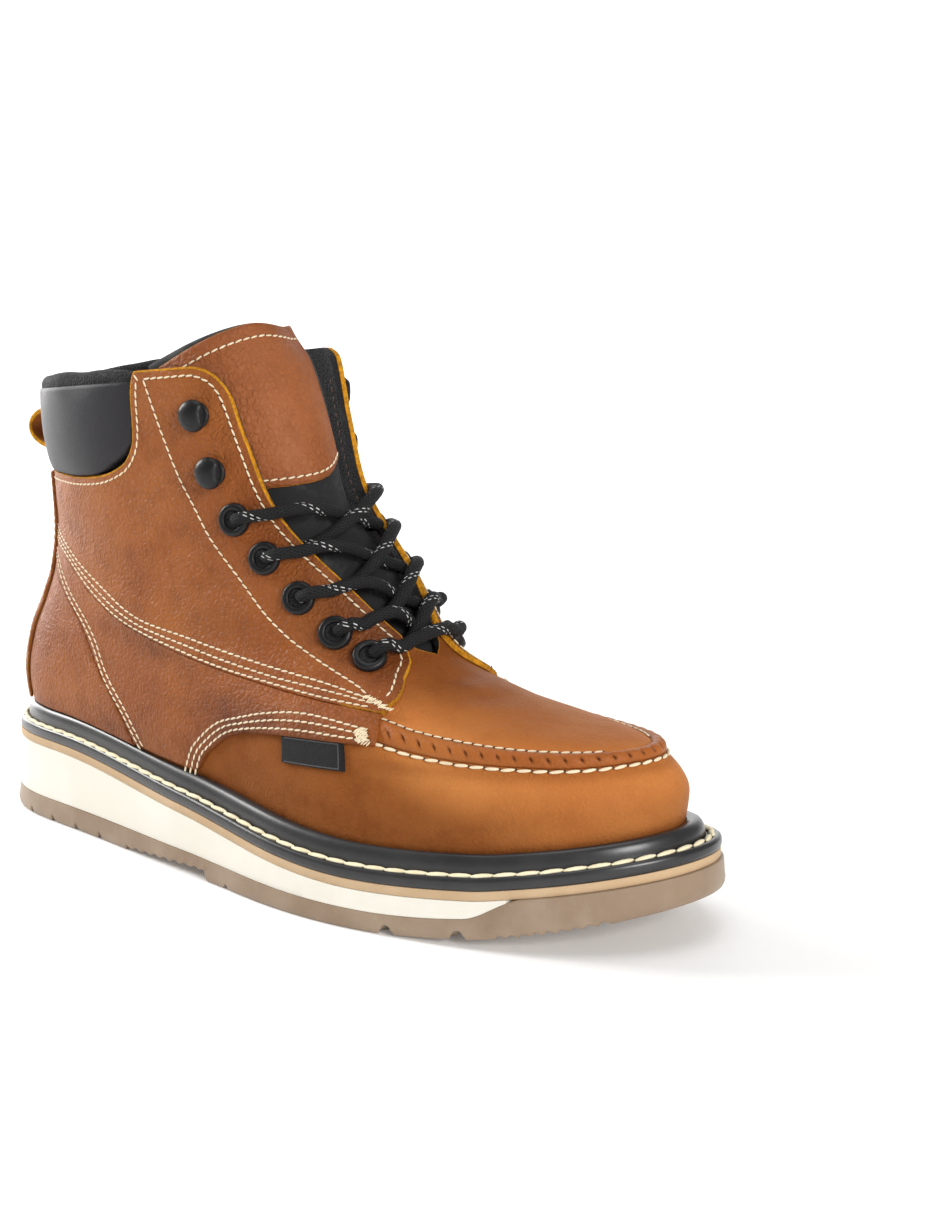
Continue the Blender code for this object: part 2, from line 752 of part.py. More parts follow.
def make_fittings():
    base = SKIN_GAP + PANEL + GAP
    ring = (
        (EYELET_HOLE, 0.0),
        (EYELET_RADIUS, 0.0),
        (0.84 * EYELET_RADIUS, EYELET_THICK),
        (1.15 * EYELET_HOLE, EYELET_THICK),
    )
    head = (
        (0.80 * HOOK_RADIUS, 0.0),
        (0.80 * HOOK_RADIUS, 0.22 * HOOK_HEIGHT),
        (0.60 * HOOK_RADIUS, 0.36 * HOOK_HEIGHT),
        (HOOK_RADIUS, 0.52 * HOOK_HEIGHT),
        (0.92 * HOOK_RADIUS, 0.80 * HOOK_HEIGHT),
        (0.45 * HOOK_RADIUS, HOOK_HEIGHT),
    )
    for side, word in ((-1, "lateral"), (1, "medial")):
        for k, (angle, t, raised) in enumerate(EYELETS, 1):
            place = frame_at(-side * math.radians(angle), t, base + raised)
            lathe(f"eyelet_{word}_{k}", *place, ring, 10, "black", 0.4, False)
        for k, (angle, t, raised) in enumerate(HOOKS, 1):
            place = frame_at(-side * math.radians(angle), t, base + raised)
            lathe(f"hook_{word}_{k}", *place, head, 10, "black", 0.35, True)


def tube_rings(path, radius, count):
    """Rings of points round a path."""
    path = np.asarray(path, float)
    ahead = np.gradient(path, axis=0)
    ahead /= np.linalg.norm(ahead, axis=1, keepdims=True)
    up = np.array([0.0, 0.0, 1.0])
    rings = []
    for place, way in zip(path, ahead):
        cross = np.cross(way, up)
        cross /= np.linalg.norm(cross)
        other = np.cross(cross, way)
        turn = np.linspace(0, 2 * math.pi, count, endpoint=False)
        rings.append(place + radius * (np.cos(turn)[:, None] * cross + np.sin(turn)[:, None] * other))
    return rings


def strand(side, low, crossing_lift):
    """Path from under one flap at an eyelet, over the tongue, to the next eyelet of the other flap."""
    above = EYELETS[low + 1]
    start_t = max(EYELETS[low].t + 0.10, THROAT_BASE + 0.20)
    start_gap = float(flat_column(THROAT, "gap", start_t)) - LACE_RADIUS - 0.6
    wide = float(reach(math.pi - 0.2, start_t)) / 0.2
    start = start_gap / wide
    end = math.radians(180.0 - above.angle)
    step = last(math.pi - end, above.t) - last(math.pi - end + 0.01, above.t)
    end -= (EYELET_RADIUS + 0.8) * 0.01 / float(np.linalg.norm(step))
    share = np.linspace(0.0, 1.0, LACE_STEPS)
    turn = -start + (end + start) * share
    t = start_t + (above.t + 0.03 - start_t) * share
    flap = math.pi - throat_angle(t, side)
    over_tongue = TONGUE_LIFT + TONGUE_THICK + GAP + LACE_RADIUS + 0.3
    over_flap = SKIN_GAP + PANEL + GAP + LACE_RADIUS + 0.8
    rise = ease(0.0, 1.0, (turn + start) / start) * (crossing_lift - over_tongue)
    climb = np.maximum(turn, 0.0) / np.maximum(flap - 0.06, 0.05)
    lift = over_tongue + rise + (over_flap - over_tongue - rise) * ease(0.0, 1.0, climb)
    return lifted(math.pi + side * turn, t, lift)


def make_laces():
    bar = math.radians(180.0 - EYELETS[0].angle) - (EYELET_RADIUS + 0.8) / 62.0
    turn = np.linspace(-bar, bar, LACE_STEPS)
    lift = SKIN_GAP + PANEL + GAP + LACE_RADIUS + 0.4
    path = lifted(math.pi + turn, np.full(turn.shape, EYELETS[0].t), np.full(turn.shape, lift))
    loft("lace_bar", tube_rings(path, LACE_RADIUS, 6), "black", 0.8)
    under = TONGUE_LIFT + TONGUE_THICK + GAP + LACE_RADIUS + 0.3
    for low in range(len(EYELETS) - 1):
        name = f"lace_crossing_{low + 1}"
        crossing = loft(name, tube_rings(strand(-1, low, under), LACE_RADIUS, 6), "black", 0.8)
        path = strand(1, low, under + 1.7 * LACE_RADIUS)
        other = loft(name + "_over", tube_rings(path, LACE_RADIUS, 6), "black", 0.8)
        other.hide_render = True
        other.display_type = "WIRE"
        join = crossing.modifiers.new("join", "BOOLEAN")
        join.operation = "UNION"
        join.solver = "EXACT"
        join.object = other


def make_pull_loop():
    back = last(0.0, 7.0)
    x_pad = float(back[0]) - PAD_BULGE - GAP
    z_mid = 152.0
    reach_out = 19.0
    half = 8.0
    turn = np.linspace(math.pi / 2, 3 * math.pi / 2, 13)
    path = [(x_pad, z_mid + half)]
    path += [(x_pad - 5.0 + (reach_out - 5.0) * math.cos(a), z_mid + half * math.sin(a)) for a in turn]
    path += [(x_pad, z_mid - half)]
    path = np.array(path)
    ahead = np.gradient(path, axis=0)
    ahead /= np.linalg.norm(ahead, axis=1, keepdims=True)
    normal = np.stack([-ahead[:, 1], ahead[:, 0]], -1)
    rings = []
    for place, out in zip(path, normal):
        a = place + 1.0 * out
        b = place - 1.0 * out
        rings.append([(a[0], -6.0, a[1]), (a[0], 6.0, a[1]), (b[0], 6.0, b[1]), (b[0], -6.0, b[1])])
    loft("pull_loop", rings, "raw", 0.7)


def main():
    for thing in list(bpy.data.objects):
        bpy.data.objects.remove(thing, do_unlink=True)
    make_outsole()
    make_wedge()
    make_slip_layer()
    make_welt()
    make_insole()
    make_upper()
    make_panels()
    make_counter()
    make_backstay()
    make_moc_ridge()
    make_collar_pad()
    make_tongue()
    make_side_tag()
    make_fittings()
    make_laces()
    make_pull_loop()


main()
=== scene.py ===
"""Finished look of a right moc-toe wedge work boot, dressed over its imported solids.

Sizes are in millimetres until a mesh is made: toe at +X, medial side at +Y, floor at z = 0.
Places on the leather are an angle from the back seam and a level of the last.
"""

import logging
import math
from dataclasses import dataclass, field, replace
from enum import Enum
from typing import Any, Callable, Sequence

import bmesh
import bpy
import numpy as np
from mathutils import Matrix, Vector
from mathutils.kdtree import KDTree


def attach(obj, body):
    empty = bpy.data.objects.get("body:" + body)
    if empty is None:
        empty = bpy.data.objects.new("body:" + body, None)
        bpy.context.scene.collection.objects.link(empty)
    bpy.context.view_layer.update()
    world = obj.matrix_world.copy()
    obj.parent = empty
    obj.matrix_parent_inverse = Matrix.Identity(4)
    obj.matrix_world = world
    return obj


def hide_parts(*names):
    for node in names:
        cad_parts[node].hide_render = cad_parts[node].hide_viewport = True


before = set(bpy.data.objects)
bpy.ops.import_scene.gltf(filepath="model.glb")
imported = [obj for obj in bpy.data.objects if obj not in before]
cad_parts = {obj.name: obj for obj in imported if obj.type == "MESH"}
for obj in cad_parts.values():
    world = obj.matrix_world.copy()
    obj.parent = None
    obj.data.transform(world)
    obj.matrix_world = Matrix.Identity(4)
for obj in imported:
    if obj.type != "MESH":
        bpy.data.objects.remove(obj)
LOG = logging.getLogger("boot")
MM = 0.001
Array = np.ndarray
Piece = bpy.types.Object
Colour = tuple[float, float, float]
Spot = tuple[float, float, float]
Line = Callable[[Array], Array]
Places = tuple[tuple[float, float], ...]


@dataclass
class Table:
    """Rows of named sizes, read between rows by a monotone cubic."""

    names: str
    rows: tuple[tuple[float, ...], ...]
    curves: dict[str, tuple[Array, ...]] = field(default_factory=dict)

    def curve(self, name: str) -> tuple[Array, ...]:
        """Knots, values and slopes of one column.

        Args:
            name: The column's name.

        Returns:
            Three arrays, one entry a row.
        """
        if name not in self.curves:
            k = self.names.split().index(name)
            x = np.array([row[0] for row in self.rows], float)
            y = np.array([row[k] for row in self.rows], float)
            step = np.diff(x)
            slope = np.diff(y) / step
            turn = np.concatenate([slope[:1], np.zeros(len(x) - 2), slope[-1:]])
            same = slope[:-1] * slope[1:] > 0
            before = np.where(same, slope[:-1], 1.0)
            after = np.where(same, slope[1:], 1.0)
            w1 = 2 * step[1:] + step[:-1]
            w2 = step[1:] + 2 * step[:-1]
            turn[1:-1] = np.where(same, (w1 + w2) / (w1 / before + w2 / after), 0.0)
            self.curves[name] = (x, y, turn)
        return self.curves[name]

    def at(self, name: str, where: Any, held: bool = True) -> Array:
        """Values of a column.

        Args:
            name: The column's name.
            where: Values of the first column.
            held: Keep the end values outside the table, else run on.

        Returns:
            The column's values there.
        """
        x, y, turn = self.curve(name)
        where = np.asarray(where, float)
        if held:
            where = np.clip(where, x[0], x[-1])
        i = np.clip(np.searchsorted(x, where) - 1, 0, len(x) - 2)
        step = x[i + 1] - x[i]
        u = (where - x[i]) / step
        rise = y[i + 1] - y[i]
        a = step * turn[i]
        b = step * turn[i + 1]
        return y[i] + u * (a + u * (3 * rise - 2 * a - b + u * (a + b - 2 * rise)))


def ease(start: float, end: float, at: Any) -> Array:
    """Smooth step from 0 at start to 1 at end."""
    u = np.clip((np.asarray(at, float) - start) / (end - start), 0.0, 1.0)
    return u * u * (3 - 2 * u)


def bow(theta: Array, blunt: Array) -> Array:
    """Side reach of a ring at an angle: 0 at both ends, 1 at its widest."""
    return np.sqrt(np.maximum(1 - np.abs(np.cos(theta)) ** blunt, 0.0))


def side_of(theta: Array) -> Array:
    """-1 on the lateral side, +1 on the medial side."""
    return np.where(np.sin(theta) >= 0, -1.0, 1.0)


def wave(at: Array, seed: int, low: float, high: float, terms: int = 9) -> Array:
    """Seeded smooth wander between about -1 and 1.

    Args:
        at: Places along a line.
        seed: Seed of the wander.
        low: Lowest frequency.
        high: Highest frequency.
        terms: Number of waves added up.

    Returns:
        The wander at each place.
    """
    chance = np.random.default_rng(seed)
    total = np.zeros(np.shape(at))
    for rate, phase in zip(chance.uniform(low, high, terms), chance.uniform(0, 6.28, terms)):
        total = total + np.sin(2 * math.pi * rate * np.asarray(at) + phase)
    return total / math.sqrt(terms)


def bell(far: Any, width: float) -> Array:
    """1 at no distance, falling smoothly towards 0 past a width."""
    return np.exp(-((far / width) ** 2))


def unit(ways: Array) -> Array:
    """Directions of length 1."""
    return ways / np.linalg.norm(ways, axis=-1, keepdims=True)


def lengths(line: Array) -> Array:
    """Distances along a run of points, from its first."""
    return np.concatenate([[0], np.cumsum(np.linalg.norm(np.diff(line, axis=0), axis=1))])


def paired(theta: Any, t: Any) -> Sequence[Array]:
    """Angles and levels as arrays of one shape."""
    return np.broadcast_arrays(np.asarray(theta, float), np.asarray(t, float))


def fixed(value: float) -> Line:
    """A line that keeps one value."""
    return lambda at: np.full(np.shape(at), value)


def by_level(table: Table, shift: float = 0.0) -> Line:
    """A table's angle, in radians, as a line by level."""
    return lambda t: np.radians(table.at("angle", t)) + shift


def by_angle(table: Table, shift: float = 0.0) -> Line:
    """A table's level as a line by angle in radians."""
    return lambda theta: table.at("t", np.degrees(theta)) + shift


PLAN = Table(
    "s lateral medial shelf spring tread_top",
    (
        (0.00, 40.0, 40.0, 32.4, 0.0, 8.6),
        (0.15, 40.0, 39.5, 32.0, 0.0, 8.6),
        (0.42, 48.0, 37.0, 24.2, 0.0, 8.0),
        (0.70, 57.0, 50.0, 16.1, 0.0, 6.6),
        (0.82, 57.0, 50.0, 17.9, 2.4, 9.2),
        (0.87, 57.0, 50.0, 20.2, 4.9, 17.0),
        (1.00, 57.0, 50.0, 28.0, 15.3, 25.0),
    ),
)
LEVELS = Table(
    "t back_x back_z front_x front_z heel waist_l waist_m ball_l ball_m blunt_back blunt_front swing follow",
    (
        (0, -142.0, 33.0, 140.5, 28.6, 31.5, 38.5, 28.0, 47.5, 40.0, 7.6, 3.7, 12.0, 1.00),
        (1, -145.0, 56.0, 142.5, 45.0, 34.0, 39.5, 30.5, 49.0, 41.5, 7.4, 3.7, 12.0, 0.95),
        (2, -142.0, 72.0, 131.5, 59.0, 33.5, 38.0, 32.0, 42.0, 34.0, 6.6, 3.6, 10.5, 0.30),
        (3, -135.5, 86.0, 97.0, 66.0, 33.0, 37.0, 32.5, 35.0, 28.5, 5.0, 3.2, 6.0, 0.05),
        (4, -129.5, 99.0, 57.0, 78.5, 33.0, 36.5, 33.5, 34.5, 30.5, 3.8, 3.0, 2.5, 0.0),
        (5, -127.0, 114.0, 36.0, 103.0, 33.5, 36.0, 34.5, 33.5, 31.0, 3.0, 3.0, 1.0, 0.0),
        (6, -126.5, 132.0, 17.0, 128.0, 35.0, 37.0, 36.0, 34.5, 32.5, 2.6, 3.1, 0.0, 0.0),
        (7, -127.0, 151.0, 8.0, 152.0, 37.0, 39.5, 38.5, 37.0, 35.0, 2.5, 3.2, 0.0, 0.0),
        (8, -127.0, 171.0, -1.0, 179.0, 39.0, 41.5, 40.5, 39.5, 37.5, 2.5, 3.2, 0.0, 0.0),
        (9, -127.0, 186.0, -13.0, 202.0, 39.0, 41.5, 40.5, 39.5, 37.5, 2.5, 3.2, 0.0, 0.0),
    ),
)
THROAT = Table(
    "t gap",
    ((4.12, 0.0), (4.25, 6.5), (4.5, 10.5), (5.0, 16.0), (6.0, 23.2), (7.0, 26.8), (8.0, 30.0)),
)
SEAM = Table(
    "angle t",
    ((0, 4.90), (47, 4.45), (62, 3.85), (73, 3.32), (85, 2.96), (97, 2.70), (111, 2.54), (130, 2.50)),
)
QUARTER_FOOT = Table(
    "angle t",
    ((55, 0.50), (82, 0.50), (85, 0.92), (89.5, 1.36), (95, 1.58), (103, 1.72), (118, 1.87)),
)
TOP_LINE = Table(
    "angle t",
    ((0, 6.30), (60, 6.30), (76, 6.36), (90, 6.60), (97, 6.98), (102, 7.78), (105, 8.00), (180, 8.00)),
)
COUNTER_EDGE = Table(
    "t angle",
    ((0.4, 68), (1.0, 64), (1.7, 58), (3.0, 51), (3.8, 39), (4.2, 22), (4.4, 9), (5.3, 9)),
)
BACKSTAY_EDGE = Table("t angle", ((0.5, 24), (3.0, 26), (5.0, 30), (6.3, 34)))
MOC_OUTER = Table(
    "angle t",
    (
        (117.0, 1.93), (123.5, 1.82), (132.0, 1.76), (142.0, 1.74), (150.0, 1.72), (159.0, 1.73),
        (168.0, 1.75), (180.0, 1.76),
    ),
)
MOC_INNER = Table(
    "angle t",
    (
        (117.0, 2.52), (123.0, 2.44), (125.5, 2.32), (132.0, 2.21), (140.0, 2.14), (151.0, 2.10),
        (160.0, 2.09), (180.0, 2.09),
    ),
)
FRONT_EDGE = Table(
    "t angle",
    ((1.85, 118), (2.35, 121), (2.75, 127), (3.2, 137), (3.65, 150), (4.05, 163), (4.4, 167), (8.0, 167)),
)
EYELETS = Table(
    "k angle t raised",
    (
        (0, 148.0, 4.02, 1.0), (1, 143.0, 4.38, 0.6), (2, 136.5, 4.80, 0.3), (3, 132.0, 5.32, 0.2),
        (4, 128.5, 5.85, 0.2),
    ),
)
HOOKS = Table("k angle t raised", ((0, 126.5, 6.56, 0.1), (1, 126.5, 7.36, 0.1)))
CREASES = Table(
    "k angle t angle_end t_end width depth",
    (
        (0, 150.0, 3.62, 205.0, 3.66, 4.5, 0.45),
        (1, 143.0, 3.34, 188.0, 3.30, 5.0, 0.35),
        (2, 84.0, 3.95, 118.0, 3.62, 5.5, 0.55),
        (3, 70.0, 4.70, 104.0, 4.36, 6.0, 0.45),
        (4, 28.0, 5.20, 66.0, 5.02, 6.5, 0.50),
        (5, 92.0, 5.10, 112.0, 5.35, 6.0, 0.40),
        (6, 262.0, 3.75, 284.0, 4.05, 5.5, 0.50),
        (7, 300.0, 4.95, 332.0, 5.15, 6.0, 0.45),
        (8, 62.0, 2.95, 82.0, 2.45, 7.0, 0.45),
    ),
)
# Dark spots on the leather by angle and level, with their widths and strength.
DARK_SPOTS = Table(
    "k angle t angle_width t_width amount",
    (
        (0, 76.0, 2.95, 12.0, 0.55, 0.55),
        (1, 66.0, 0.70, 16.0, 0.45, 0.40),
        (2, 100.0, 0.60, 24.0, 0.50, 0.16),
        (3, 104.0, 4.10, 10.0, 0.60, 0.30),
        (4, 58.0, 5.30, 14.0, 0.50, 0.25),
        (5, 34.0, 2.10, 16.0, 1.20, 0.25),
    ),
)


@dataclass
class Last:
    """The foot form that every leather piece is laid on, with its seams."""

    sole_length: float = 308.0
    sole_blunt_back: float = 7.6
    sole_blunt_front: float = 3.7
    sole_swing: float = 14.0
    throat_base: float = 4.12
    shaft_start: float = 5.0
    tab_top: float = 8.0
    medial_rise: float = 6.0
    probe: float = 2e-3

    def __post_init__(self) -> None:
        """Works out the throat's edge once for each side."""
        self.throat_t = np.linspace(self.throat_base, 9.0, 500)
        self.throat_edge = {side: self.solve_throat(self.throat_t, side) for side in (-1, 1)}

    def along(self, x: Any) -> Array:
        """Share of the sole's length at x."""
        return (np.asarray(x, float) + self.sole_length / 2) / self.sole_length

    def shelf(self, x: Any) -> Array:
        """Height of the welt's underside at x."""
        return PLAN.at("shelf", self.along(x))

    def outline(self, theta: Array, grow: Any) -> tuple[Array, Array]:
        """Plan of the sole, grown outwards.

        Args:
            theta: Angles from the heel.
            grow: Distance outside the outsole's edge.

        Returns:
            x and y of each point.
        """
        s = (1 - np.cos(theta)) / 2
        blunt = self.sole_blunt_back + (self.sole_blunt_front - self.sole_blunt_back) * ease(0.35, 0.65, s)
        side = side_of(theta)
        half = np.where(side < 0, PLAN.at("lateral", s), PLAN.at("medial", s))
        x = (self.sole_length / 2 + grow) * (2 * s - 1)
        y = side * (half + grow) * bow(theta, blunt) + self.sole_swing * ease(0.55, 1.0, s)
        return x, y

    def sizes(self, names: str, t: Array) -> list[Array]:
        """Named sizes of the last at levels, running on past its ends."""
        return [LEVELS.at(name, t, False) for name in names.split()]

    def reach(self, theta: Array, t: Array) -> Array:
        """Distance of the surface from the centre line.

        Args:
            theta: Angles from the heel.
            t: Levels.

        Returns:
            Distances in millimetres.
        """
        s = (1 - np.cos(theta)) / 2
        heel, back, front = self.sizes("heel blunt_back blunt_front", t)
        lateral, medial = self.sizes("waist_l ball_l", t), self.sizes("waist_m ball_m", t)
        waist, ball = np.where(side_of(theta) < 0, lateral, medial)
        half = heel + (waist - heel) * ease(0.12, 0.42, s) + (ball - waist) * ease(0.42, 0.72, s)
        return half * bow(theta, back + (front - back) * ease(0.35, 0.65, s))

    def point(self, theta: Any, t: Any) -> Array:
        """Points of the last.

        Args:
            theta: Angles from the heel.
            t: Levels.

        Returns:
            Points by coordinates.
        """
        theta, t = paired(theta, t)
        s = (1 - np.cos(theta)) / 2
        back_x, front_x, swing = self.sizes("back_x front_x swing", t)
        back_z, front_z, follow = self.sizes("back_z front_z follow", t)
        x = back_x + (front_x - back_x) * s
        y = side_of(theta) * self.reach(theta, t) + swing * ease(0.55, 1.0, s)
        straight = self.shelf(back_x) + (self.shelf(front_x) - self.shelf(back_x)) * s
        dip = follow * (self.shelf(x) - straight)
        rise = ease(3.6, 4.8, t) * (1 - 0.9 * ease(7.95, 8.75, t)) * ease(-8.0, 34.0, y)
        z = back_z + (front_z - back_z) * s + dip + self.medial_rise * rise
        return np.stack([x, y, z], -1)

    def ahead(self, theta: Any, t: Any) -> Array:
        """The way in which the angle grows."""
        return self.point(theta + self.probe, t) - self.point(theta - self.probe, t)

    def normal(self, theta: Any, t: Any) -> Array:
        """Outward unit directions.

        Args:
            theta: Angles from the heel.
            t: Levels.

        Returns:
            Directions by coordinates.
        """
        theta, t = paired(theta, t)
        up = self.point(theta, t + self.probe) - self.point(theta, t - self.probe)
        return unit(np.cross(self.ahead(theta, t), up))

    def lifted(self, theta: Any, t: Any, lift: Any) -> Array:
        """Points at a distance outside the last."""
        theta, t = paired(theta, t)
        return self.point(theta, t) + self.normal(theta, t) * np.broadcast_to(lift, theta.shape)[..., None]

    def relief(self, theta: Any, t: Any) -> Array:
        """Height of the worn creases: soft troughs with a low ridge on each side.

        Args:
            theta: Angles, signed or full.
            t: Levels.

        Returns:
            Heights in millimetres.
        """
        theta, t = paired(theta, t)
        place = self.point(theta, t)
        total = np.zeros(theta.shape)
        share = np.linspace(0, 1, 25)
        bend = 0.10 * np.sin(math.pi * share)
        for _, angle, level, angle_end, level_end, width, depth in CREASES.rows:
            turn = np.radians(angle + (angle_end - angle) * share)
            path = self.point(turn, level + (level_end - level) * share + bend)
            gap = np.full(theta.shape, np.inf)
            near = np.zeros(theta.shape)
            for part, spot in zip(share, path):
                far = np.linalg.norm(place - spot, axis=-1)
                near = np.where(far < gap, part, near)
                gap = np.minimum(gap, far)
            u = gap / width
            fade = np.sin(math.pi * np.clip(near, 0.0, 1.0)) ** 0.7
            total += depth * fade * (0.55 * bell(u - 1.5, 1.0) - bell(u, 1.0))
        return total

    def darkening_and_painted_shade(self, theta: Any, t: Any) -> Array:
        """Share of darkening: dark spots, plus painted shade under the moc roll, low on the vamp, above the
        welt, on the instep and over the plug.

        Args:
            theta: Angles, signed or full.
            t: Levels.

        Returns:
            Shares from 0 to 1.
        """
        angle = np.degrees(np.abs(np.arctan2(np.sin(theta), np.cos(theta))))
        spots = np.zeros(np.shape(angle))
        for _, middle, level, wide, tall, amount in DARK_SPOTS.rows:
            far = ((angle - middle) / wide) ** 2 + ((t - level) / tall) ** 2
            spots = spots + amount * np.exp(-far)
        # Painted shadow under the moc seam's roll.
        painted_shade_under_roll = 0.42 * ease(112, 122, angle) * bell(t - 1.66, 0.10)
        # Painted shade low on the vamp's sides and toe, darker towards the bottom.
        waist = ease(78, 92, angle) * (1 - 0.45 * ease(128, 150, angle))
        brim = 1.65 + 0.75 * (1 - ease(106, 134, angle))
        side = 0.92 * waist * (1 - ease(brim - 0.8, brim, t))
        # Painted shade in a band just above the welt.
        painted_shade_above_welt = 0.40 * bell(t - 0.35, 0.22)
        # Painted shadow of the laces and flaps on the instep.
        instep = 0.60 * ease(118, 168, angle) * bell(t - 4.0, 0.85)
        # Painted shade darkening the plug.
        plug = 0.36 * ease(126, 142, angle) * ease(1.9, 2.5, t)
        return np.clip(spots + painted_shade_under_roll + side + painted_shade_above_welt + instep + plug, 0.0, 1.0)

    def solve_throat(self, t: Array, side: int) -> Array:
        """Angle of the throat's edge by halving.

        Args:
            t: Levels above the throat's base.
            side: -1 lateral, +1 medial.

        Returns:
            Angles in radians.
        """
        gap = THROAT.at("gap", t)
        low = np.full(t.shape, math.pi / 2)
        high = np.full(t.shape, math.pi)
        for _ in range(40):
            middle = (low + high) / 2
            wide = self.reach(-side * middle, t) > gap
            low = np.where(wide, middle, low)
            high = np.where(wide, high, middle)
        return np.where(gap > 0, (low + high) / 2, math.pi)

    def throat_angle(self, t: Any, side: int) -> Array:
        """Angle of the throat's edge on one side, and a half turn below its base."""
        t = np.asarray(t, float)
        return np.where(t <= self.throat_base, math.pi, np.interp(t, self.throat_t, self.throat_edge[side]))

    def top_line(self, theta: Any) -> Array:
        """Level of the top edge: low under the pad, high at the tab, round at the tab's front.

        Args:
            theta: Signed angles.

        Returns:
            Levels.
        """
        angle = np.degrees(np.abs(theta))
        corner = np.clip((angle - 127.0) / 14.0, 0.0, 1.0)
        return TOP_LINE.at("t", angle) - 0.5 * (1 - np.sqrt(1 - 0.98 * corner**2))

    def lattice(self, shares: Array, levels: Array) -> tuple[Array, Array]:
        """Angles and levels of a grid that follows the throat and the top edge.

        Args:
            shares: Columns as shares of the way from the back to the throat, medial ones negative.
            levels: Rows as levels of the tab.

        Returns:
            Signed angles and levels.
        """
        level = np.repeat(levels[:, None], len(shares), axis=1)
        t = level.copy()
        for _ in range(12):
            theta = shares * np.where(shares > 0, self.throat_angle(t, -1), self.throat_angle(t, 1))
            stretch = (self.top_line(theta) - self.shaft_start) / (self.tab_top - self.shaft_start)
            raised = self.shaft_start + (level - self.shaft_start) * stretch
            t = np.where(level > self.shaft_start, raised, level)
        return theta, t

    def frame_at(self, theta: float, t: float, lift: float) -> Matrix:
        """Axes at a place: forward, across and out.

        Args:
            theta: Its angle.
            t: Its level.
            lift: Its height above the last.

        Returns:
            The axes, with their origin there.
        """
        ahead = Vector(unit(self.ahead(theta, t)))
        out = Vector(self.normal(theta, t))
        place = Matrix((ahead, out.cross(ahead), out)).transposed().to_4x4()
        place.translation = Vector(self.lifted(theta, t, lift))
        return place


LAST = Last()


class Term:
    """One output of a shader tree that takes part in Python arithmetic."""

    def __init__(self, paint: "Paint", socket: bpy.types.NodeSocket) -> None:
        """Keeps the tree and the socket."""
        self.paint = paint
        self.socket = socket

    def __add__(self, other: Any) -> "Term":
        """Sum."""
        return self.paint.math("ADD", self, other)

    def __sub__(self, other: Any) -> "Term":
        """Difference."""
        return self.paint.math("SUBTRACT", self, other)

    def __rsub__(self, other: Any) -> "Term":
        """Difference, reflected."""
        return self.paint.math("SUBTRACT", other, self)

    def __mul__(self, other: Any) -> "Term":
        """Product."""
        return self.paint.math("MULTIPLY", self, other)

    __radd__ = __add__
    __rmul__ = __mul__


class NodeTree:
    """A node tree that is filled one node at a time."""

    tree: bpy.types.NodeTree

    def node(self, kind: str, settings: dict[str, Any], sockets: dict[Any, Any]) -> bpy.types.Node:
        """Adds one node.

        Args:
            kind: The node's type.
            settings: Its properties, set first.
            sockets: Values, or Terms and outputs to link, by input name or number.

        Returns:
            The node.
        """
        made = self.tree.nodes.new(kind)
        for name, value in settings.items():
            setattr(made, name, value)
        for name, value in sockets.items():
            value = value.socket if isinstance(value, Term) else value
            if isinstance(value, bpy.types.NodeSocket):
                self.tree.links.new(value, made.inputs[name])
            else:
                made.inputs[name].default_value = value
        return made

    def output(self, kind: str, settings: dict[str, Any], sockets: dict[Any, Any]) -> bpy.types.NodeSocket:
        """Adds one node and gives its first output."""
        return self.node(kind, settings, sockets).outputs[0]


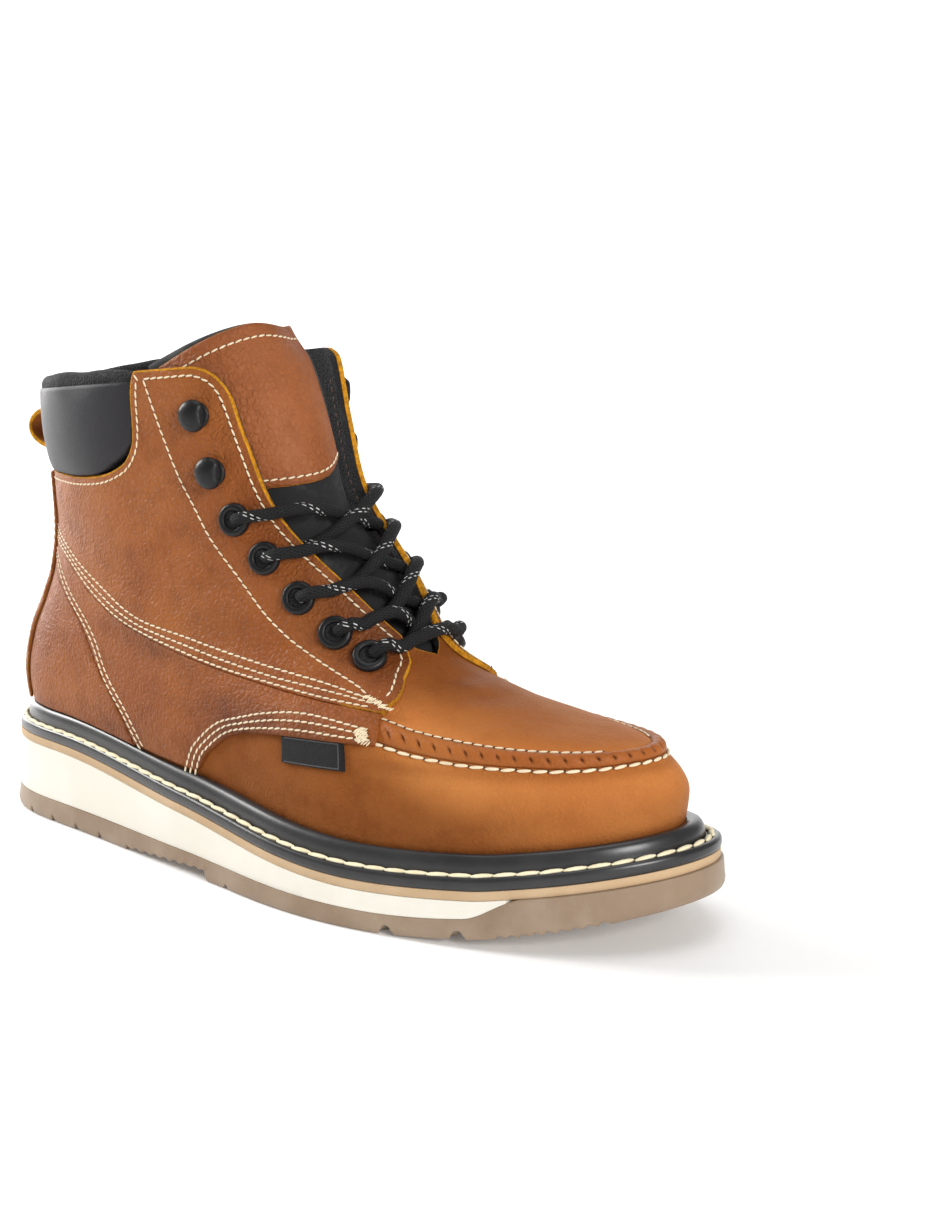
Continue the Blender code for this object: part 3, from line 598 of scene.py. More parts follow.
class Paint(NodeTree):
    """Node tree of one material, written as expressions."""

    def __init__(self, name: str) -> None:
        """Starts an empty material."""
        self.material = bpy.data.materials.new(name)
        self.material.use_nodes = True
        self.tree = self.material.node_tree
        self.tree.nodes.clear()

    def term(self, kind: str, output: Any, settings: dict[str, Any], sockets: dict[Any, Any]) -> Term:
        """Adds one node and gives one of its outputs."""
        return Term(self, self.node(kind, settings, sockets).outputs[output])

    def math(self, operation: str, a: Any, b: Any = 0.0) -> Term:
        """One Math node on values."""
        return self.term("ShaderNodeMath", 0, {"operation": operation}, {0: a, 1: b})

    def place(self) -> Term:
        """Object coordinates."""
        return self.term("ShaderNodeTexCoord", "Object", {}, {})

    def attribute(self, name: str) -> Term:
        """A number kept on the mesh."""
        return self.term("ShaderNodeAttribute", "Fac", {"attribute_name": name}, {})

    def fitted(self, place: Term, size_mm: float, **more: float) -> dict[str, Any]:
        """Sockets of a texture with features of about a size."""
        return {"Vector": place, "Scale": 1000.0 / size_mm, **more}

    def noise(self, place: Term, size_mm: float, detail: float = 2.0, rough: float = 0.5) -> Term:
        """Noise with features of about a size."""
        sockets = self.fitted(place, size_mm, Detail=detail, Roughness=rough)
        return self.term("ShaderNodeTexNoise", "Fac", {}, sockets)

    def shaken(self, place: Term, size_mm: float, reach_mm: float) -> Term:
        """Coordinates pushed about by noise, so that cells lose their even look.

        Args:
            place: The coordinates.
            size_mm: Size of the noise.
            reach_mm: How far it pushes.

        Returns:
            The pushed coordinates.
        """
        sums = "ShaderNodeVectorMath"
        push = self.term("ShaderNodeTexNoise", "Color", {}, self.fitted(place, size_mm, Detail=1.0))
        middle = self.term(sums, 0, {"operation": "SUBTRACT"}, {0: push, 1: (0.5, 0.5, 0.5)})
        small = self.term(sums, 0, {"operation": "SCALE"}, {0: middle, "Scale": reach_mm * MM})
        return self.term(sums, 0, {"operation": "ADD"}, {0: place, 1: small})

    def cells(self, place: Term, size_mm: float) -> Term:
        """Distance from the border of rounded cells of about a size."""
        sockets = self.fitted(place, size_mm)
        return self.term("ShaderNodeTexVoronoi", "Distance", {"feature": "DISTANCE_TO_EDGE"}, sockets)

    def pebbles(self, place: Term, size_mm: float) -> Term:
        """Distance from the middle of soft round pebbles of about a size."""
        sockets = self.fitted(place, size_mm, Smoothness=0.45)
        return self.term("ShaderNodeTexVoronoi", "Distance", {"feature": "SMOOTH_F1"}, sockets)

    def step(self, value: Term, low: float, high: float) -> Term:
        """Smooth step of a value from low to high."""
        settings = {"interpolation_type": "SMOOTHSTEP", "clamp": True}
        return self.term("ShaderNodeMapRange", 0, settings, {0: value, 1: low, 2: high, 3: 0.0, 4: 1.0})

    def mix(self, share: Any, a: Any, b: Any) -> Term:
        """Colour between two.

        Args:
            share: 0 for the first, 1 for the second.
            a: The first colour.
            b: The second colour.

        Returns:
            The mixed colour.
        """
        a = a if isinstance(a, Term) else (*a, 1.0)
        b = b if isinstance(b, Term) else (*b, 1.0)
        settings = {"data_type": "RGBA", "blend_type": "MIX", "clamp_factor": True}
        return self.term("ShaderNodeMix", 2, settings, {0: share, 6: a, 7: b})

    def bump(self, height: Term, depth_mm: float, under: Term | None = None) -> Term:
        """A bump.

        Args:
            height: Its height from 0 to 1.
            depth_mm: Its depth.
            under: A bump under it.

        Returns:
            The normal.
        """
        sockets: dict[Any, Any] = {"Height": height, "Distance": depth_mm * MM, "Strength": 1.0}
        if under is not None:
            sockets["Normal"] = under
        return self.term("ShaderNodeBump", 0, {}, sockets)

    def done(self, **sockets: Any) -> bpy.types.Material:
        """Ends the tree in a Principled shader.

        Args:
            **sockets: Input values or Terms, with _ for a space in their names.

        Returns:
            The material.
        """
        named = {}
        for name, value in sockets.items():
            named[name.replace("_", " ")] = (*value, 1.0) if isinstance(value, tuple) else value
        shader = self.term("ShaderNodeBsdfPrincipled", 0, {}, named)
        self.node("ShaderNodeOutputMaterial", {}, {"Surface": shader})
        return self.material


@dataclass(frozen=True)
class Leather:
    """Tan leather with pebbled grain, random stains, darkening from the mesh (dark spots and painted shade)
    and raw cut edges.
    """

    name: str
    base: Colour
    deep: Colour
    pale: Colour
    raw: Colour
    grain_mm: float
    grain_depth: float
    wrinkle_depth: float
    roughness: float
    shine: float = 0.15
    stain: float = 0.20

    def material(self) -> bpy.types.Material:
        """Builds the material.

        Returns:
            The material.
        """
        paint = Paint(self.name)
        place = paint.place()
        cloud = paint.noise(place, 46.0, 3.0)
        mottle = paint.noise(place, 8.0, 4.0, 0.62)
        loose = paint.shaken(place, 1.7 * self.grain_mm, 0.9 * self.grain_mm)
        valley = paint.step(paint.pebbles(loose, self.grain_mm), 0.18, 0.62)
        fine = paint.noise(place, 0.6, 3.0, 0.6)
        grain = paint.noise(loose, 0.8 * self.grain_mm, 4.0, 0.62)
        wrinkle = paint.noise(paint.shaken(place, 7.0, 3.0), 3.6, 4.0, 0.66)
        edge = paint.attribute("edge")
        darkening = paint.attribute("darkening_and_painted_shade")
        warm = paint.mix(paint.step(cloud, 0.34, 0.66), self.base, self.pale)
        # Random stains, plus the mesh's dark spots and painted shade, all towards the deep colour.
        dark = paint.step(mottle, 0.42, 0.80) * self.stain + darkening * (0.70 + 0.10 * mottle)
        tone = paint.mix(dark, warm, self.deep)
        zone = paint.step(paint.noise(place, 17.0, 3.0), 0.40, 0.62)
        crease = paint.step(paint.cells(loose, 1.15 * self.grain_mm), 0.26, 0.0)
        shown = min(0.15, 0.5 * self.grain_depth)
        tone = paint.mix(crease * (0.6 + 0.4 * zone) * shown, tone, self.deep)
        fray = paint.noise(place, 1.9, 4.0, 0.7)
        fuzz = paint.step(edge + (fray - 0.5) * 1.1, 0.42, 0.70)
        raw = paint.mix(paint.step(fray, 0.30, 0.72), self.raw, tuple(0.42 * c for c in self.raw))
        tone = paint.mix(fuzz, tone, raw)
        rough = self.roughness + (mottle - 0.5) * 0.18 - darkening * 0.05 + fuzz * 0.35
        height = (1.0 - valley) * 0.5 + grain * 0.5 + fine * 0.12 - crease * (0.35 + 0.2 * zone)
        normal = paint.bump(wrinkle, self.wrinkle_depth)
        normal = paint.bump(height + fuzz * fray, self.grain_depth, normal)
        return paint.done(Base_Color=tone, Roughness=rough, Normal=normal, Specular_IOR_Level=self.shine)


@dataclass(frozen=True)
class Rubber:
    """Moulded rubber or foam: a speckled tone, fine skin and scuffs."""

    name: str
    base: Colour
    other: Colour
    roughness: float
    skin_mm: float
    skin_depth: float
    scuff: float = 0.0
    coat: float = 0.0

    def material(self) -> bpy.types.Material:
        """Builds the material.

        Returns:
            The material.
        """
        paint = Paint(self.name)
        place = paint.place()
        cloud = paint.noise(place, 26.0, 4.0, 0.6)
        skin = paint.noise(place, self.skin_mm, 3.0, 0.6)
        scratch = paint.noise(paint.shaken(place, 18.0, 9.0), 3.0, 6.0, 0.7)
        worn = paint.step(scratch, 0.60, 0.74) * self.scuff
        share = paint.step(cloud, 0.35, 0.70) * 0.7 + worn
        tone = paint.mix(share, self.base, self.other)
        rough = self.roughness + (cloud - 0.5) * 0.14 + worn * 0.2
        normal = paint.bump(skin, self.skin_depth)
        return paint.done(
            Base_Color=tone, Roughness=rough, Normal=normal, Coat_Weight=self.coat, Coat_Roughness=0.28,
            Specular_IOR_Level=0.3,
        )


@dataclass(frozen=True)
class Cloth:
    """Dark woven, knitted or napped stuff."""

    name: str
    base: Colour
    dust: Colour
    thread_mm: float
    depth: float
    roughness: float
    dusting: float
    sheen: float

    def material(self) -> bpy.types.Material:
        """Builds the material.

        Returns:
            The material.
        """
        paint = Paint(self.name)
        place = paint.place()
        knit = paint.step(paint.cells(paint.shaken(place, 1.6, 0.4), self.thread_mm), 0.0, 0.35)
        nap = paint.noise(place, 0.7, 3.0, 0.7)
        cloud = paint.noise(paint.shaken(place, 12.0, 6.0), 11.0, 5.0, 0.65)
        dusty = paint.step(cloud, 0.50, 0.78) * self.dusting + nap * 0.12
        tone = paint.mix(dusty, self.base, self.dust)
        normal = paint.bump(knit + nap * 0.5, self.depth)
        rough = self.roughness + (nap - 0.5) * 0.12
        return paint.done(
            Base_Color=tone, Roughness=rough, Normal=normal, Sheen_Weight=self.sheen, Sheen_Roughness=0.5,
            Specular_IOR_Level=0.22,
        )


@dataclass(frozen=True)
class Thread:
    """Waxed sewing thread with a fine twist."""

    name: str
    base: Colour
    shade: Colour

    def material(self) -> bpy.types.Material:
        """Builds the material.

        Returns:
            The material.
        """
        paint = Paint(self.name)
        place = paint.place()
        ply = paint.noise(place, 0.35, 2.0)
        soil = paint.noise(place, 6.0, 3.0)
        tone = paint.mix(paint.step(soil, 0.4, 0.8) * 0.35 + ply * 0.2, self.base, self.shade)
        normal = paint.bump(ply, 0.08)
        return paint.done(Base_Color=tone, Roughness=0.62 + (ply - 0.5) * 0.1, Normal=normal)


@dataclass(frozen=True)
class Enamel:
    """Black paint over metal, rubbed on its high edges."""

    name: str
    base: Colour
    worn: Colour
    roughness: float

    def material(self) -> bpy.types.Material:
        """Builds the material.

        Returns:
            The material.
        """
        paint = Paint(self.name)
        place = paint.place()
        pit = paint.noise(place, 0.9, 3.0, 0.6)
        rub = paint.step(paint.noise(place, 2.4, 4.0, 0.7), 0.60, 0.80) * 0.2
        tone = paint.mix(rub, self.base, self.worn)
        normal = paint.bump(pit, 0.09)
        return paint.done(
            Base_Color=tone, Roughness=self.roughness + pit * 0.2, Normal=normal, Specular_IOR_Level=0.3
        )


@dataclass(frozen=True)
class Braid:
    """Round black braid with rows of pale flecks, on the lace's own UV map in millimetres and turns."""

    name: str
    base: Colour
    fleck: Colour

    def material(self) -> bpy.types.Material:
        """Builds the material.

        Returns:
            The material.
        """
        paint = Paint(self.name)
        chart = paint.term("ShaderNodeUVMap", "UV", {"uv_map": "lace"}, {})
        parts = paint.node("ShaderNodeSeparateXYZ", {}, {0: chart})
        length = Term(paint, parts.outputs[0])
        turn = Term(paint, parts.outputs[1])
        one = paint.math("SINE", (turn * 12.0 + length * 0.42) * (2 * math.pi))
        two = paint.math("SINE", (turn * 12.0 - length * 0.42) * (2 * math.pi))
        strands = paint.math("MAXIMUM", one, two)
        helix = paint.math("ABSOLUTE", paint.math("FRACT", turn + length * 0.047) - 0.5)
        twin = paint.math("ABSOLUTE", helix - 0.05)
        dash = paint.math("FRACT", length * 0.46)
        mark = paint.step(0.020 - twin, 0.0, 0.010) * paint.step(dash, 0.46, 0.54)
        # Painted shade: darker between the braid's strands.
        painted_shade_between_strands = paint.step(strands, -0.2, 0.9)
        tone = paint.mix(painted_shade_between_strands, tuple(0.35 * c for c in self.base), self.base)
        tone = paint.mix(mark, tone, self.fleck)
        normal = paint.bump(strands, 0.16)
        rough = 0.75 - mark * 0.2
        return paint.done(Base_Color=tone, Roughness=rough, Normal=normal, Specular_IOR_Level=0.25)


class Finish(Enum):
    """The boot's finishes."""

    VAMP = Leather(
        "vamp_hide", (0.470, 0.160, 0.040), (0.12, 0.028, 0.005), (0.550, 0.210, 0.058),
        (0.62, 0.25, 0.02), 1.4, 0.13, 0.20, 0.50, 0.04, 0.08,
    )
    PANEL = Leather(
        "panel_hide", (0.260, 0.072, 0.014), (0.095, 0.022, 0.004), (0.345, 0.110, 0.025),
        (0.68, 0.29, 0.013), 1.7, 0.30, 0.40, 0.50, 0.19, 0.34,
    )
    PATCH = Leather(
        "patch_hide", (0.245, 0.072, 0.021), (0.095, 0.023, 0.006), (0.305, 0.100, 0.034),
        (0.50, 0.19, 0.025), 2.0, 0.34, 0.24, 0.50,
    )
    RIDGE = Leather(
        "ridge_hide", (0.33, 0.095, 0.019), (0.075, 0.019, 0.004), (0.40, 0.132, 0.030),
        (0.50, 0.19, 0.03), 1.4, 0.12, 0.30, 0.44,
    )
    LOOP = Leather(
        "loop_hide", (0.30, 0.090, 0.018), (0.13, 0.035, 0.006), (0.38, 0.130, 0.028),
        (0.74, 0.33, 0.015), 1.4, 0.16, 0.30, 0.58,
    )
    GUM = Rubber("gum_rubber", (0.255, 0.178, 0.118), (0.36, 0.275, 0.20), 0.40, 1.2, 0.08, 0.45)
    FOAM = Rubber("wedge_foam", (0.765, 0.735, 0.645), (0.82, 0.795, 0.715), 0.62, 1.6, 0.07, 0.05)
    STRIP = Rubber("edge_strip", (0.50, 0.345, 0.20), (0.60, 0.44, 0.28), 0.66, 1.0, 0.08, 0.15)
    WELT = Rubber("welt_rubber", (0.014, 0.014, 0.015), (0.030, 0.030, 0.032), 0.40, 2.2, 0.05, 0.12, 0.55)
    PAD = Cloth("pad_cloth", (0.020, 0.0185, 0.022), (0.037, 0.035, 0.040), 0.55, 0.05, 0.50, 0.12, 0.02)
    LINING = Cloth("lining_cloth", (0.012, 0.012, 0.013), (0.085, 0.085, 0.09), 1.3, 0.45, 0.85, 0.45, 0.05)
    NUBUCK = Cloth(
        "tongue_nubuck", (0.012, 0.012, 0.013), (0.075, 0.074, 0.074), 0.8, 0.06, 0.80, 0.60, 0.05
    )
    FOOTBED = Cloth("footbed_cloth", (0.060, 0.052, 0.045), (0.09, 0.08, 0.07), 0.8, 0.08, 0.9, 0.3, 0.02)
    TAB = Cloth("tag_weave", (0.007, 0.007, 0.008), (0.024, 0.024, 0.026), 0.6, 0.14, 0.7, 0.2, 0.02)
    CREAM = Thread("cream_thread", (0.82, 0.71, 0.50), (0.50, 0.36, 0.20))
    YELLOW = Thread("welt_thread", (0.90, 0.82, 0.58), (0.60, 0.50, 0.28))
    GREY = Thread("tag_thread", (0.055, 0.055, 0.058), (0.022, 0.022, 0.024))
    BROWN = Thread("brown_thread", (0.16, 0.075, 0.045), (0.06, 0.03, 0.02))
    # Dark marks between stitches: painted shade of the needle holes.
    HOLE_SHADE = Thread("needle_hole_shade", (0.060, 0.020, 0.008), (0.025, 0.010, 0.005))
    ENAMEL = Enamel("black_enamel", (0.008, 0.008, 0.009), (0.05, 0.05, 0.052), 0.28)
    BRAID = Braid("lace_braid", (0.013, 0.013, 0.014), (0.60, 0.60, 0.58))

    def material(self) -> bpy.types.Material:
        """The finish's material, made once."""
        found = bpy.data.materials.get(self.value.name)
        return found or self.value.material()


def link(name: str, data: bpy.types.ID) -> Piece:
    """Puts a new object with its mesh, light or camera in the scene."""
    thing = bpy.data.objects.new(name, data)
    bpy.context.scene.collection.objects.link(thing)
    return thing


def new_mesh(
    name: str, points: Array, faces: Sequence[Sequence[int]], edges: Sequence[Sequence[int]] = ()
) -> bpy.types.Mesh:
    """A mesh from points in millimetres.

    Args:
        name: The mesh's name.
        points: Its points.
        faces: Its faces as point numbers.
        edges: Loose edges as point numbers.

    Returns:
        The mesh.
    """
    mesh = bpy.data.meshes.new(name)
    places = (np.asarray(points, float) * MM).tolist()
    mesh.from_pydata(places, list(edges), [tuple(map(int, face)) for face in faces])
    return mesh


def turn_out(mesh: bpy.types.Mesh, merge: bool) -> None:
    """Turns a mesh's faces outwards and shades it smooth.

    Args:
        mesh: The mesh.
        merge: Merge double points and drop loose ones first.
    """
    work = bmesh.new()
    work.from_mesh(mesh)
    if merge:
        bmesh.ops.remove_doubles(work, verts=work.verts, dist=2e-6)
        bmesh.ops.delete(work, geom=[v for v in work.verts if not v.link_faces], context="VERTS")
    bmesh.ops.recalc_face_normals(work, faces=work.faces)
    work.to_mesh(mesh)
    work.free()
    mesh.shade_smooth()


def add_piece(
    name: str, points: Array, faces: Sequence[Sequence[int]], finishes: Sequence[Finish],
    slots: Sequence[int] | None = None, numbers: dict[str, Array] | None = None, crease: float = 38.0,
) -> Piece:
    """Makes one mesh object at the origin.

    Args:
        name: The piece's name.
        points: Its points in millimetres.
        faces: Its faces as point numbers.
        finishes: Its finishes.
        slots: The finish of each face, the first if left out.
        numbers: Point attributes for the finishes.
        crease: Angle past which an edge stays sharp.

    Returns:
        The object.
    """
    mesh = new_mesh(name, points, faces)
    for finish in finishes:
        mesh.materials.append(finish.material())
    if slots is not None:
        mesh.polygons.foreach_set("material_index", np.asarray(slots, np.int32))
    for key, value in (numbers or {}).items():
        made = mesh.attributes.new(key, "FLOAT", "POINT")
        made.data.foreach_set("value", np.asarray(value, np.float32).ravel())
    turn_out(mesh, True)
    mesh.set_sharp_from_angle(angle=math.radians(crease))
    return link(name, mesh)


def settle(piece: Piece, slot: str, *nodes: str) -> Piece:
    """Puts a piece on the boot's body.

    Args:
        piece: The piece.
        slot: Not used.
        *nodes: Solids that it stands for.

    Returns:
        The piece.
    """
    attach(piece, "root")
    if nodes:
        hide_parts(*nodes)
    LOG.info("%s: %d faces", piece.name, len(piece.data.polygons))
    return piece


def quads(rows: int, columns: int, start: int = 0, ring: bool = False) -> list[tuple[int, ...]]:
    """Faces of a grid of points.

    Args:
        rows: Rows of points.
        columns: Points in a row.
        start: Number of the first point.
        ring: Join the last column to the first.

    Returns:
        The faces as point numbers.
    """
    faces = []
    for i in range(rows - 1):
        a = start + i * columns
        b = a + columns
        faces += [(a + j, a + j + 1, b + j + 1, b + j) for j in range(columns - 1)]
        if ring:
            faces.append((a + columns - 1, a, b, b + columns - 1))
    return faces


def whole_faces(faces: Sequence[Sequence[int]]) -> list[tuple[int, ...]]:
    """Faces without repeated corners, and without those that have no area then."""
    shorter = [tuple(dict.fromkeys(face)) for face in faces]
    return [face for face in shorter if len(face) > 2]


def slab(
    name: str, outer: Array, inner: Array, finishes: Sequence[Finish],
    numbers: dict[str, Array], crease: float, closed_rows: int = 0,
) -> Piece:
    """Two grids of points joined round their borders.

    Args:
        name: The piece's name.
        outer: Rows by columns by coordinates of the outer side.
        inner: The same for the inner side.
        finishes: Its finish, or one outside and one inside and at the border.
        numbers: Point attributes, outer side first.
        crease: Angle past which an edge stays sharp.
        closed_rows: Lowest rows whose two ends meet and need no border.

    Returns:
        The object.
    """
    rows, columns = outer.shape[:2]
    count = rows * columns
    faces = quads(rows, columns)
    slots = [0] * len(faces)
    faces += [face[::-1] for face in quads(rows, columns, count)]
    border = [(0, j) for j in range(columns)] + [(i, columns - 1) for i in range(1, rows)]
    border += [(rows - 1, j) for j in range(columns - 2, -1, -1)] + [(i, 0) for i in range(rows - 2, 0, -1)]
    at = [i * columns + j for i, j in border]
    for a, b in zip(at, at[1:] + at[:1]):
        if abs(a - b) != columns or max(a, b) // columns > closed_rows:
            faces.append((b, a, a + count, b + count))
    slots += [len(finishes) - 1] * (len(faces) - len(slots))
    points = np.concatenate([outer.reshape(-1, 3), inner.reshape(-1, 3)])
    return add_piece(name, points, faces, finishes, slots, numbers, crease)


def loft(
    name: str, rings: Array, finish: Finish, closed: bool = False, crease: float = 38.0,
    numbers: dict[str, Array] | None = None,
) -> Piece:
    """A solid through closed rings of points.

    Args:
        name: The piece's name.
        rings: Rings by points by coordinates.
        finish: Its finish.
        closed: Join the last ring to the first, else cap both ends.
        crease: Angle past which an edge stays sharp.
        numbers: Point attributes for the finish.

    Returns:
        The object.
    """
    rings = np.asarray(rings, float)
    count, size = rings.shape[:2]
    faces = quads(count, size, 0, True)
    if closed:
        end = (count - 1) * size
        faces += [(end + j, end + (j + 1) % size, (j + 1) % size, j) for j in range(size)]
    else:
        for start in (0, (count - 1) * size):
            strips = [(j, j + 1, (size - j - 1) % size, (size - j) % size) for j in range(size // 2)]
            faces += [tuple(start + end for end in strip) for strip in whole_faces(strips)]
    return add_piece(name, rings.reshape(-1, 3), faces, [finish], None, numbers, crease)


def smooth_line(places: Sequence[Sequence[float]], count: int) -> Array:
    """Points on a smooth line through places, evenly spread by distance.

    Args:
        places: Two or more numbers a place.
        count: Points wanted.

    Returns:
        One row a point.
    """
    knots = np.asarray(places, float)
    ends = np.vstack([2 * knots[0] - knots[1], knots, 2 * knots[-1] - knots[-2]])
    fine = []
    for k in range(len(knots) - 1):
        p0, p1, p2, p3 = ends[k : k + 4]
        u = np.linspace(0, 1, 24, endpoint=k == len(knots) - 2)[:, None]
        bend = 2 * p0 - 5 * p1 + 4 * p2 - p3
        turn = 3 * (p1 - p2) + p3 - p0
        fine.append(0.5 * (2 * p1 + (p2 - p0) * u + bend * u**2 + turn * u**3))
    fine = np.concatenate(fine)
    far = lengths(fine)
    at = np.linspace(0, far[-1], count)
    return np.stack([np.interp(at, far, fine[:, k]) for k in range(fine.shape[1])], -1)


def level_line(places: Sequence[Sequence[float]], count: int) -> tuple[Array, Array]:
    """Angles in degrees and levels on a smooth line, with a level as long as 12 degrees."""
    dense = smooth_line([(angle, 12.0 * t) for angle, t in places], count)
    return dense[:, 0], dense[:, 1] / 12.0


@dataclass
class Sheet:
    """One piece of leather cut from the last between lines by angle and by level."""

    name: str
    first: Line
    final: Line
    lower: Line
    upper: Line
    shares: tuple[float, float, int]
    levels: tuple[float, float, int]
    lift: float
    thick: float
    finish: Finish
    round_edge: float = 0.9
    tint: float | Callable[[Array, Array], Array] = 1.0

    def grid(self) -> tuple[Array, Array, list[tuple[int, ...]]]:
        """Cuts the grid to the lines.

        Returns:
            Angles, levels and faces of the sheet's outer side.
        """
        theta, t = LAST.lattice(np.linspace(*self.shares), np.linspace(*self.levels))
        whole = self.sizes(theta, t)
        for _ in range(8):
            theta = np.clip(theta, self.first(t), self.final(t))
            t = np.clip(t, self.lower(np.abs(theta)), self.upper(np.abs(theta)))
        kept = self.sizes(theta, t) > 0.03 * whole
        flat = np.round(np.column_stack([theta.ravel(), t.ravel()]), 5)
        spots, index = np.unique(flat, axis=0, return_inverse=True)
        index = index.reshape(theta.shape)
        corners = [index[:-1, :-1], index[:-1, 1:], index[1:, 1:], index[1:, :-1]]
        faces = whole_faces(np.stack(corners, -1)[kept].tolist())
        return spots[:, 0], spots[:, 1], faces

    def sizes(self, theta: Array, t: Array) -> Array:
        """Areas of the grid's cells.

        Args:
            theta: Angles by rows and columns.
            t: Levels by rows and columns.

        Returns:
            Areas in angle and level.
        """
        across = np.stack([theta[1:, 1:] - theta[:-1, :-1], t[1:, 1:] - t[:-1, :-1]])
        other = np.stack([theta[1:, :-1] - theta[:-1, 1:], t[1:, :-1] - t[:-1, 1:]])
        return np.abs(across[0] * other[1] - across[1] * other[0]) / 2

    def build(self) -> Piece:
        """Makes the sheet with a rounded outer rim and its attributes.

        Returns:
            The object.
        """
        theta, t, faces = self.grid()
        edges = {(face[k - 1], face[k]) for face in faces for k in range(len(face))}
        border = [(a, b) for a, b in edges if (b, a) not in edges]
        flat = LAST.lifted(theta, t, self.lift + self.thick)
        tree = KDTree(4 * len(border))
        for k, (a, b) in enumerate(border):
            for step in range(4):
                tree.insert(Vector(flat[a] + (flat[b] - flat[a]) * step / 4), 4 * k + step)
        tree.balance()
        far = np.array([tree.find(Vector(p))[2] for p in flat])
        inside = np.clip(self.round_edge - far, 0.0, None)
        drop = self.round_edge - np.sqrt(np.maximum(self.round_edge**2 - inside**2, 0.0))
        relief = LAST.relief(theta, t)
        outer = LAST.lifted(theta, t, self.lift + self.thick - 0.75 * drop + relief)
        inner = LAST.lifted(theta, t, self.lift - 0.25 + np.minimum(relief, 0.0))
        tint = self.tint(np.abs(theta), t) if callable(self.tint) else np.full(theta.shape, self.tint)
        edge = (1 - ease(0.25, 1.35, far)) * tint
        count = len(theta)
        every = list(faces)
        every += [tuple(c + count for c in face[::-1]) for face in faces]
        every += [(b, a, a + count, b + count) for a, b in border]
        numbers = {
            "edge": np.concatenate([edge, tint]),
            "darkening_and_painted_shade": np.tile(LAST.darkening_and_painted_shade(theta, t), 2),
        }
        points = np.concatenate([outer, inner])
        return add_piece(self.name, points, every, [self.finish], None, numbers, 50.0)

    def mirrored(self) -> "Sheet":
        """The same cut on the medial side."""
        start, end, count = self.shares
        edges = {"first": lambda t: -self.final(t), "final": lambda t: -self.first(t)}
        return replace(self, shares=(-end, -start, count), **edges)


@dataclass
class StitchSize:
    """Sizes of one kind of stitch."""

    pitch: float
    length: float
    width: float
    height: float
    twist: float
    sink: float


class Seam(Enum):
    """Kinds of sewn seam."""

    FINE = StitchSize(2.95, 2.80, 0.72, 0.66, 0.13, 0.02)
    MOC = StitchSize(5.0, 4.7, 1.15, 1.05, 0.10, 0.0)
    INNER = StitchSize(3.3, 3.0, 0.78, 0.70, 0.10, 0.0)
    WELT = StitchSize(7.2, 7.9, 2.0, 1.7, 0.12, 0.0)
    LINING = StitchSize(3.2, 2.5, 0.7, 0.6, 0.1, 0.0)
    TACK = StitchSize(1.0, 2.1, 0.50, 0.55, 0.8, 0.0)
    RIM = StitchSize(0.9, 1.0, 0.55, 0.40, 0.25, 0.0)


@dataclass
class Path:
    """A run of points with the outward direction at each."""

    points: Array
    outs: Array

    @staticmethod
    def on_last(places: Sequence[Sequence[float]], side: int, lift: float, aside: float = 0.0) -> "Path":
        """A path on the leather.

        Args:
            places: Angles in degrees and levels.
            side: +1 as given (lateral), -1 mirrored to the medial side.
            lift: Height above the last.
            aside: Distance moved to the left of the run on the surface.

        Returns:
            The path.
        """
        angle, t = level_line(places, 160)
        theta = side * np.radians(angle)
        outs = LAST.normal(theta, t)
        points = LAST.lifted(theta, t, lift + LAST.relief(theta, t))
        if aside:
            points = points + side * aside * unit(np.cross(outs, np.gradient(points, axis=0)))
        return Path(points, outs)


